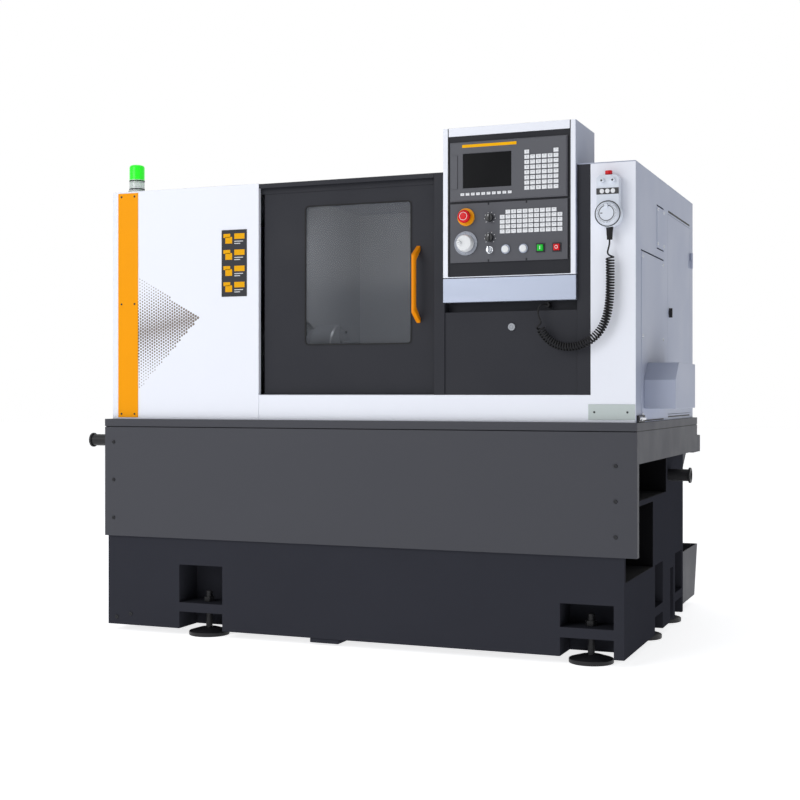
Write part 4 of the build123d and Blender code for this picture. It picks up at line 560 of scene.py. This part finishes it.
# Display unit: a moulded grey front with a sunk screen, a card cover at the left and a yellow stripe on top.
# The keys are single white mouldings with small printed legends.
display_grey = surface("display_grey", "#5a5b61", 0.5, shine=0.25)
screen_glass = surface("screen_glass", "#0a0b0e", 0.3, mottle=0.03, bump=0.0, shine=0.06)
stripe_yellow = surface("stripe_yellow", "#f7b400", 0.4, shine=0.1)
key_white = surface("key_white", "#e9ebef", 0.45, mottle=0.03)
legend_ink = surface("legend_ink", "#aeb0b5", 0.6)
dress(display_grey, "display_unit")
softened("keypads", 0.6, key_white, "key_grey")
pane_span = ((420, 590), (-1.2, -0.4), (1592, 1708), 0.3)
blocks("screen_pane", [pane_span], screen_glass, "machine", "panel_black")
stripe_span = ((417, 609), (-5, -3.9), (1729, 1739), 0.4)
blocks("display_stripe", [stripe_span], stripe_yellow, "machine", "strip_orange")
bm = packed_copy("keypads")
key_corners, waiting = [], set(bm.verts)
while waiting:
    key, growing = [], [waiting.pop()]
    while growing:
        vert = growing.pop()
        key.append(vert.co)
        beside = {edge.other_vert(vert) for edge in vert.link_edges} & waiting
        waiting -= beside
        growing += beside
    key_corners.append([Vector([pick(co[k] for co in key) for k in range(3)]) for pick in (min, max)])
bm.free()
key_corners.sort(key=lambda corners: (round(corners[0].z, 4), corners[0].x))
line_shares, second_line, line_tall = (0.34, 0.5, 0.42), 0.7, 0.13  # shares of a key's width and height
first_rise, line_step, ink_thick = 0.66, 0.28, 0.0002
bm = bmesh.new()
for number, (low, high) in enumerate(key_corners):
    wide, tall = high.x - low.x, high.z - low.z
    for line in range(1 + number % 2):
        rise = low.z + tall * (first_rise - line_step * line)
        middle = Vector(((low.x + high.x) / 2, low.y - ink_thick / 2, rise))
        line_wide = wide * line_shares[number % 3] * (second_line if line else 1)
        size = Matrix.Diagonal((line_wide, ink_thick, tall * line_tall, 1))
        bmesh.ops.create_cube(bm, size=1, matrix=Matrix.Translation(middle) @ size)
finished("key_legends", bm, legend_ink, "machine", "key_grey")

# Controls: a red mushroom stop, a white handwheel, two black override knobs, a key, and four push buttons.
# All are moulded plastic on turned stems, set in the operator panel.
stop_red = surface("stop_red", "#d8121e", 0.34, mottle=0.03, shine=0.25)
button_white = surface("button_white", "#e6e8ea", 0.4, mottle=0.03)
button_green = surface("button_green", "#16bf32", 0.34, shine=0.25)
knob_black = surface("knob_black", "#1f2023", 0.38)
pale_ink = surface("pale_ink", "#e9eaec", 0.5)
bright = surface("bright_plate", "#c9ccd2", 0.22, metal=0.9)
stop_seat = (stop_x, -5, stop_z)
mushroom = [
    (0, -4.5), (12.5, -4.5), (12.5, 14), (20.5, 14), (22, 15.5), (22, 21), (20.5, 24.5), (16.5, 27),
    (9, 27.9), (0, 28),
]
turned("stop_mushroom", mushroom, [stop_seat], FRONT, 64, stop_red, "estop", "button_red", "estop_button")
stop_mark_ring = [(12.4, 27.2), (13.8, 27.05), (13.8, 27.5), (12.4, 27.7), (12.4, 27.2)]
turned("stop_ring_mark", stop_mark_ring, [stop_seat], FRONT, 48, pale_ink, "estop", "button_red")
wheel = [
    (0, -8), (3.9, -8), (3.9, 0), (29, 0), (30, 1.2), (28.6, 12), (26.4, 19.6), (24.6, 21.6), (22, 22),
    (0, 22),
]
wheel_grip = [(0, 21.9), (7, 21.9), (7, 34), (6, 36), (0, 36)]
wheel_seat_y, grip_x = -3.3, wheel_x - 15
bm = bmesh.new()
lathe(bm, wheel, (wheel_x, wheel_seat_y, wheel_z), FRONT, 72)
lathe(bm, wheel_grip, (grip_x, wheel_seat_y, wheel_z), FRONT, 32)
finished("handwheel_turned", bm, button_white, "handwheel", "button_white", "handwheel")
dash = ((grip_x - 4.5, grip_x + 4.5), (-39.3, -39.15), (wheel_z - 1.3, wheel_z + 1.3))
blocks("handwheel_dash", [dash], ring_marks, "handwheel", "button_white")
knob_x, feed_z, speed_z = 514, 1488, 1420.5
knob = [(0, -8), (3.9, -8), (3.9, 0), (13.5, 0), (13.5, 10), (12.6, 13.5), (11, 14.4), (0, 14.4)]
for name, body, knob_z in (
    ("override_knob_feed", "feed_knob", feed_z), ("override_knob_spindle", "spindle_knob", speed_z),
):
    bm = bmesh.new()
    lathe(bm, knob, (knob_x, 0.7, knob_z), FRONT, 36)
    block(bm, (knob_x - 2.5, knob_x + 2.5), (-19.3, -13.2), (knob_z - 12, knob_z + 12), 1.2)
    finished(name + "_turned", bm, knob_black, body, "knob_black", name)
    pointer = ((knob_x - 0.8, knob_x + 0.8), (-19.5, -19.28), (knob_z + 3, knob_z + 10.6))
    blocks(name + "_pointer", [pointer], pale_ink, body, "knob_black")
scale_dots, scale_reach, scale_turn = 8, 19, 270
bm = bmesh.new()
for knob_z in (feed_z, speed_z):
    for spot in range(scale_dots):
        angle = radians(spot * scale_turn / (scale_dots - 1) - scale_turn / 2)
        dot(bm, knob_x + scale_reach * sin(angle), 0.9, knob_z + scale_reach * cos(angle), 1.3)
finished("override_dots", bm, pale_ink, "machine", "panel_black")
button_z, left_x, right_x = 1380, 570, 632
softened("key_switch", 0.6, bright, "silver")
key_ring = [(9.4, 0), (12.5, 0), (12.5, 2), (11.6, 2.8), (10.2, 2.8), (9.4, 2), (9.4, 0)]
turned("key_ring", key_ring, [(513, 1, button_z)], FRONT, 40, bright, "machine", "silver")
cap = [(0, -5.5), (12, -5.5), (12, 5.6), (11.4, 6.6), (10, 7), (0, 7)]
for name, body, button_x in (
    ("round_button_left", "button_left", left_x), ("round_button_right", "button_right", right_x),
):
    cap_seat = (button_x, -2, button_z)
    turned(name + "_cap", cap, [cap_seat], FRONT, 40, button_white, body, "button_white", name)
bezel = [(12.6, 3), (15.4, 3), (15.4, 3.9), (14.6, 4.7), (13.2, 4.7), (12.6, 4), (12.6, 3)]
bezel_seats = [(button_x, 1, button_z) for button_x in (left_x, right_x)]
turned("round_button_bezels", bezel, bezel_seats, FRONT, 40, silver, "machine", "silver")
softened("start_button", 1.2, button_green, "button_green")
softened("stop_button", 1.2, stop_red, "button_red")
start_bar = ((689.3, 691.7), (-9.15, -8.95), (button_z - 5.5, button_z + 5.5))
blocks("start_mark", [start_bar], pale_ink, "button_start", "button_green")
stop_circle, stop_centre = band(4, 5.6, 6.9, 7.12), (746.5, -2, button_z)
turned("stop_mark", stop_circle, [stop_centre], FRONT, 32, pale_ink, "button_stop", "button_red")

# Right side: white sheet darkened to pale grey as painted shade, with two screwed covers, a hinged electrical
# door and a hood over the feed motor.
# The door closes with a quarter-turn latch, and narrow vent slits run above and below it.
bright_screw = surface("plated_screw", "#b9bcc2", 0.3, metal=0.9)
softened("right_side_panel", 1, white_in_painted_shade, "side_grey")
softened("electrical_door", 1, white_in_painted_shade, "side_grey")
softened("electrical_latch", 0.8, black_paint, "pipe_black")
softened("motor_hood", 3, white_in_painted_shade, "side_grey")
side_skin, cover_face = (1004.9, 1005.3), 1007
slits = [
    (side_skin, (590, 1040), (1555, 1562)),
    (side_skin, (585, 1040), (809, 814)),
    (side_skin, (170, 500), (803, 807.5)),
]
blocks("side_slits", slits, black_rubber, "machine", "rubber_black")
upper_cover = [(y, z) for y in (384, 492) for z in (1420, 1540)]
lower_cover = [(124, 1352), (480, 1352), (124, 1087), (480, 1087), (124, 826)]
side_places = [(cover_face, y, z) for y, z in upper_cover + lower_cover]
screw_heads("side_screws", side_places, RIGHT, radius=6, height=2.5, material=bright_screw)

# Electrical fittings: moulded drive fronts with green terminal strips and dark windows, and a row of units.
# They are screwed and clipped to the back plate of the electrical box between plastic cable ducts,
# and show when its door is open.
drive_grey = surface("drive_grey", "#3a3c42", 0.5, shine=0.25)
terminal_green = surface("terminal_green", "#3c7a52", 0.5)
duct_grey = surface("duct_grey", "#a4a8ae", 0.55)
first_slit, slit_count, slit_pitch, slit_height = 1250, 6, 14, 5
first_unit, unit_count, unit_pitch, unit_width = 605, 9, 34, 30
fronts, windows, terminals = [], [], []
for drive_y in (613, 731, 849, 967):
    fronts.append(((923, 929), (drive_y + 4, drive_y + 86), (1136, 1424), 2))
    windows.append(((929, 930), (drive_y + 22, drive_y + 68), (1378, 1402), 0.3))
    for slit in range(slit_count):
        slit_z = first_slit + slit * slit_pitch
        windows.append(((929, 929.6), (drive_y + 16, drive_y + 74), (slit_z, slit_z + slit_height)))
    for strip_z in (1144, 1190):
        terminals.append(((929, 938), (drive_y + 14, drive_y + 76), (strip_z, strip_z + 22), 1))
blocks("drive_fronts", fronts, drive_grey, "machine", "motor_black")
blocks("drive_windows", windows, black_paint, "machine", "motor_black")
blocks("drive_terminals", terminals, terminal_green, "machine", "button_green")
box_width = (585, 1085)
ducts = [
    ((803, 863), box_width, (1040, 1090), 2),
    ((803, 863), box_width, (1462, 1512), 2),
    ((803, 813), box_width, (930, 965), 1),
]
blocks("cable_ducts", ducts, duct_grey, "machine", "side_grey")
unit_starts = [first_unit + unit * unit_pitch for unit in range(unit_count)]
units = [((813, 873), (unit_y, unit_y + unit_width), (905, 990), 1.5) for unit_y in unit_starts]
blocks("rail_units", units, key_white, "machine", "key_grey")

# Corner plate and clamp: a grey-green bent plate over the enclosure's lower right corner, with two screws.
# The toggle clamp beside it is black with a plated lever.
plate_green = surface("grey_green_coat", "#bfc9c8", 0.45)
corner_span = ((848, 1003), (18, 20), (809, 860), 0.6)
blocks("corner_plate", [corner_span], plate_green, "machine", "side_grey")
corner_places = [(868, 18, 834), (978, 18, 834)]
screw_heads("corner_screws", corner_places, FRONT, radius=3.6, height=1.6, material=dark_screw)
clamp_span = ((1005, 1012), (36, 140), (801, 824), 1.5)
blocks("clamp_body", [clamp_span], black_paint, "machine", "pipe_black")
bm = bmesh.new()
block(bm, (1012, 1018), (44, 128), (808, 817), 2)
lathe(bm, [(0, 0), (7, 0), (7, 9), (6, 10), (0, 10)], (1012, 52, 812.5), RIGHT, 24)
finished("clamp_lever", bm, bright, "machine", "steel")

# Pendant: a light grey moulded hand unit hung on a hook, with a graduated dial, two knobs and a band of keys.
# A red stop button sits on its top and a rubber boot takes the cord below.
pendant_grey = surface("pendant_grey", "#dbe1ec", 0.45, mottle=0.03)
pendant_x, knob_off, pendant_front = 923, 18, -27.3
band_low, band_high = 1535, 1570


def pendant_finish(point):
    """Pale moulding, with black for the band and the knobs that stand in front of it."""
    _, y, z = on_drawing(point)
    return 1 if y < pendant_front and band_low < z < band_high else 0


softened("pendant_body", 1.5, [pendant_grey, knob_black], "pendant_grey", pendant_finish)
dial_z, crank_reach = 1479, 24
dial_seat, crank_seat = ((pendant_x, pendant_front, z) for z in (dial_z, dial_z + crank_reach))
dial = [
    (0, -9), (9.9, -9), (9.9, 0), (38, 0), (39, 1.2), (38, 5), (36, 13), (34.4, 16.4), (33, 17), (0, 17),
]
crank = [(0, 16.9), (6, 16.9), (6, 23.6), (5, 25), (0, 25)]
bm = bmesh.new()
lathe(bm, dial, dial_seat, FRONT, 72)
lathe(bm, crank, crank_seat, FRONT, 32)
finished("pendant_dial_turned", bm, pendant_grey, "pendant_dial", "pendant_grey", "pendant_dial")
tick_count, tick_reach = 40, 30
bm = bmesh.new()
for tick in range(tick_count):
    ring_tick(bm, (pendant_x, -44.4, dial_z), tick * 360 / tick_count, tick_reach, 1, 5)
lathe(bm, band(23.5, 26, 17, 17.3), dial_seat, FRONT, 48)
block(bm, (903, 910), (-44.6, -44.3), (dial_z - 1.4, dial_z + 1.4))
finished("pendant_dial_marks", bm, ring_marks, "pendant_dial", "pendant_grey")
band_key = [(0, 0), (7.4, 0), (7.4, 1.6), (6.4, 2.2), (0, 2.2)]
key_seats = [(pendant_x + off, -29, 1552) for off in (-knob_off, 0, knob_off)]
turned("pendant_keys", band_key, key_seats, FRONT, 24, key_white, "machine", "key_grey")
# A black ring round the dial is its painted shadow on the body, and small dark dots mark the two knobs.
bm = bmesh.new()
lathe(bm, band(39.4, 42.6, 0, 0.25), (pendant_x, -27, dial_z), FRONT, 64)
for off in (-knob_off, knob_off):
    lathe(bm, [(0, 12), (3.4, 12), (3.4, 12.3), (0, 12.3)], (pendant_x + off, -27, 1586), FRONT, 20)
finished("pendant_marks", bm, ring_marks, "machine", "pendant_grey")
softened("pendant_stop", 1, stop_red, "button_red")
softened("cord_glands", 0.6, black_rubber, "rubber_black")

# Pendant cord: black rubber-sheathed cable wound to a springy curl, with a straight tail.
# It hangs in a loop from the pendant's boot and goes back into the column through a gland under the panel.
curl_route = [
    (926, -10, 1396), (927, -10, 1348), (928, -11, 1298), (928, -11, 1247), (926, -12, 1195),
    (917, -12, 1144), (894, -12, 1096), (851, -11, 1061), (798, -10, 1047), (748, -9, 1054),
    (707, -9, 1084), (685, -8, 1127), (684, -8, 1169),
]
tail_route = [
    (685.4, -5.5, 1179.6), (688.9, 0.6, 1188), (693.9, 9.2, 1192.7), (699.4, 18.9, 1193.2),
    (704.9, 28.3, 1192.5),
]
wire, coil_radius, coil_pitch = 0.0055, 0.01225, 0.009
lead_in, lead_pitch, steps_per_turn = 0.065, 0.19, 14


def spline_through(name, points, thickness):
    """A smooth curve led by points, round in section if it has a thickness."""
    data = bpy.data.curves.new(name, "CURVE")
    data.dimensions = "3D"
    data.resolution_u = 4
    data.bevel_depth = thickness / 2
    data.bevel_resolution = 3
    data.use_fill_caps = True
    line = data.splines.new("NURBS")
    line.points.add(len(points) - 1)
    for point, place in zip(line.points, points):
        point.co = (*place, 1)
    line.order_u = 3
    line.use_endpoint_u = True
    curve = bpy.data.objects.new(name, data)
    bpy.context.scene.collection.objects.link(curve)
    return curve


lead = spline_through("cord_lead", [at(*place) for place in curl_route], 0)
lead.data.resolution_u = 24
lead_mesh = bpy.data.meshes.new_from_object(lead)
middle_line = [vert.co.copy() for vert in lead_mesh.vertices]
bpy.data.objects.remove(lead)
lengths = [0.0]
for here, there in zip(middle_line, middle_line[1:]):
    lengths.append(lengths[-1] + (there - here).length)
curl_length = lengths[-1]
coil_points = []
side = Vector(FRONT)
turned_by, travelled, piece_at = 0.0, 0.0, 0
while travelled < curl_length:
    while piece_at < len(lengths) - 2 and lengths[piece_at + 1] < travelled:
        piece_at += 1
    here, there = middle_line[piece_at], middle_line[piece_at + 1]
    share = (travelled - lengths[piece_at]) / max(1e-9, lengths[piece_at + 1] - lengths[piece_at])
    along = (there - here).normalized()
    side = (side - along * side.dot(along)).normalized()
    over = along.cross(side)
    near_end = min(1.0, travelled / lead_in, (curl_length - travelled) / lead_in)
    ease = near_end * near_end * (3 - 2 * near_end)
    outward = side * cos(turned_by) + over * sin(turned_by)
    coil_points.append(here.lerp(there, share) + outward * coil_radius * ease)
    pitch = coil_pitch + (lead_pitch - coil_pitch) * (1 - ease)
    travelled += pitch / steps_per_turn
    turned_by += 2 * pi / steps_per_turn
cord_line = coil_points + [at(*place) for place in (curl_route[-1], *tail_route)]
cord = spline_through("pendant_cord", cord_line, wire)
cord.data.materials.append(black_rubber)
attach(cord, "machine")
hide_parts("cord_curl", "cord_tail")

# Studio: a pale floor and a white surround, a broad soft key from the front left and weak fills.
# The camera stands to the right of the machine at chest height.
floor_material = surface("studio_floor", "#f4f5f7", 0.8, mottle=0.005, bump=0.0)
adjust(floor_material, "Emission Color", (1, 1, 1, 1))
adjust(floor_material, "Emission Strength", 0.78)
floor_mesh = bpy.data.meshes.new("floor")
bm = bmesh.new()
bmesh.ops.create_grid(bm, x_segments=1, y_segments=1, size=30)
bm.to_mesh(floor_mesh)
bm.free()
floor_mesh.materials.append(floor_material)
floor = bpy.data.objects.new("floor", floor_mesh)
bpy.context.scene.collection.objects.link(floor)
world = bpy.data.worlds.new("studio")
bpy.context.scene.world = world
world.use_nodes = True
tree, links = world.node_tree, world.node_tree.links
shown = tree.nodes["Background"]
shown.inputs["Color"].default_value = (1, 1, 1, 1)
shown.inputs["Strength"].default_value = 1.0
ambient = add_node(tree, "Background", {"Color": (0.92, 0.95, 1, 1), "Strength": 0.2})
ray = add_node(tree, "LightPath", {})
seen = ray.outputs["Is Camera Ray"]
for kind in ("Is Transmission Ray", "Is Glossy Ray"):
    either = add_node(tree, "Math", {})
    either.operation = "ADD"
    either.use_clamp = True
    links.new(seen, either.inputs[0])
    links.new(ray.outputs[kind], either.inputs[1])
    seen = either.outputs["Value"]
choice = add_node(tree, "MixShader", {})
links.new(seen, choice.inputs["Fac"])
links.new(ambient.outputs["Background"], choice.inputs[1])
links.new(shown.outputs["Background"], choice.inputs[2])
links.new(choice.outputs["Shader"], tree.nodes["World Output"].inputs["Surface"])
lit_point = Vector((0, 0, 0.9))
for name, place, size, power in (
    ("key", (-2.4, -5.6, 3.4), 3.5, 118),
    ("fill", (5.2, -1.6, 2.6), 3.0, 3),
    ("top", (0.0, -0.6, 5.2), 3.5, 40),
    ("chamber", (0.0, -0.42, 1.55), 0.35, 1.2),
):
    lamp = bpy.data.lights.new(name, "AREA")
    lamp.energy = power
    lamp.size = size
    light = bpy.data.objects.new(name, lamp)
    light.location = place
    light.rotation_euler = (lit_point - Vector(place)).to_track_quat("-Z", "Y").to_euler()
    bpy.context.scene.collection.objects.link(light)
camera_data = bpy.data.cameras.new("camera")
camera_data.lens = 61.07
camera_data.sensor_width = 36
camera_data.shift_y = -0.0075
camera = bpy.data.objects.new("camera", camera_data)
camera.location = (1.9205, -5.087, 0.894)
camera.rotation_euler = (radians(90), 0, radians(21.67))
bpy.context.scene.collection.objects.link(camera)
bpy.context.scene.camera = camera
bpy.context.scene.view_settings.view_transform = "Standard"
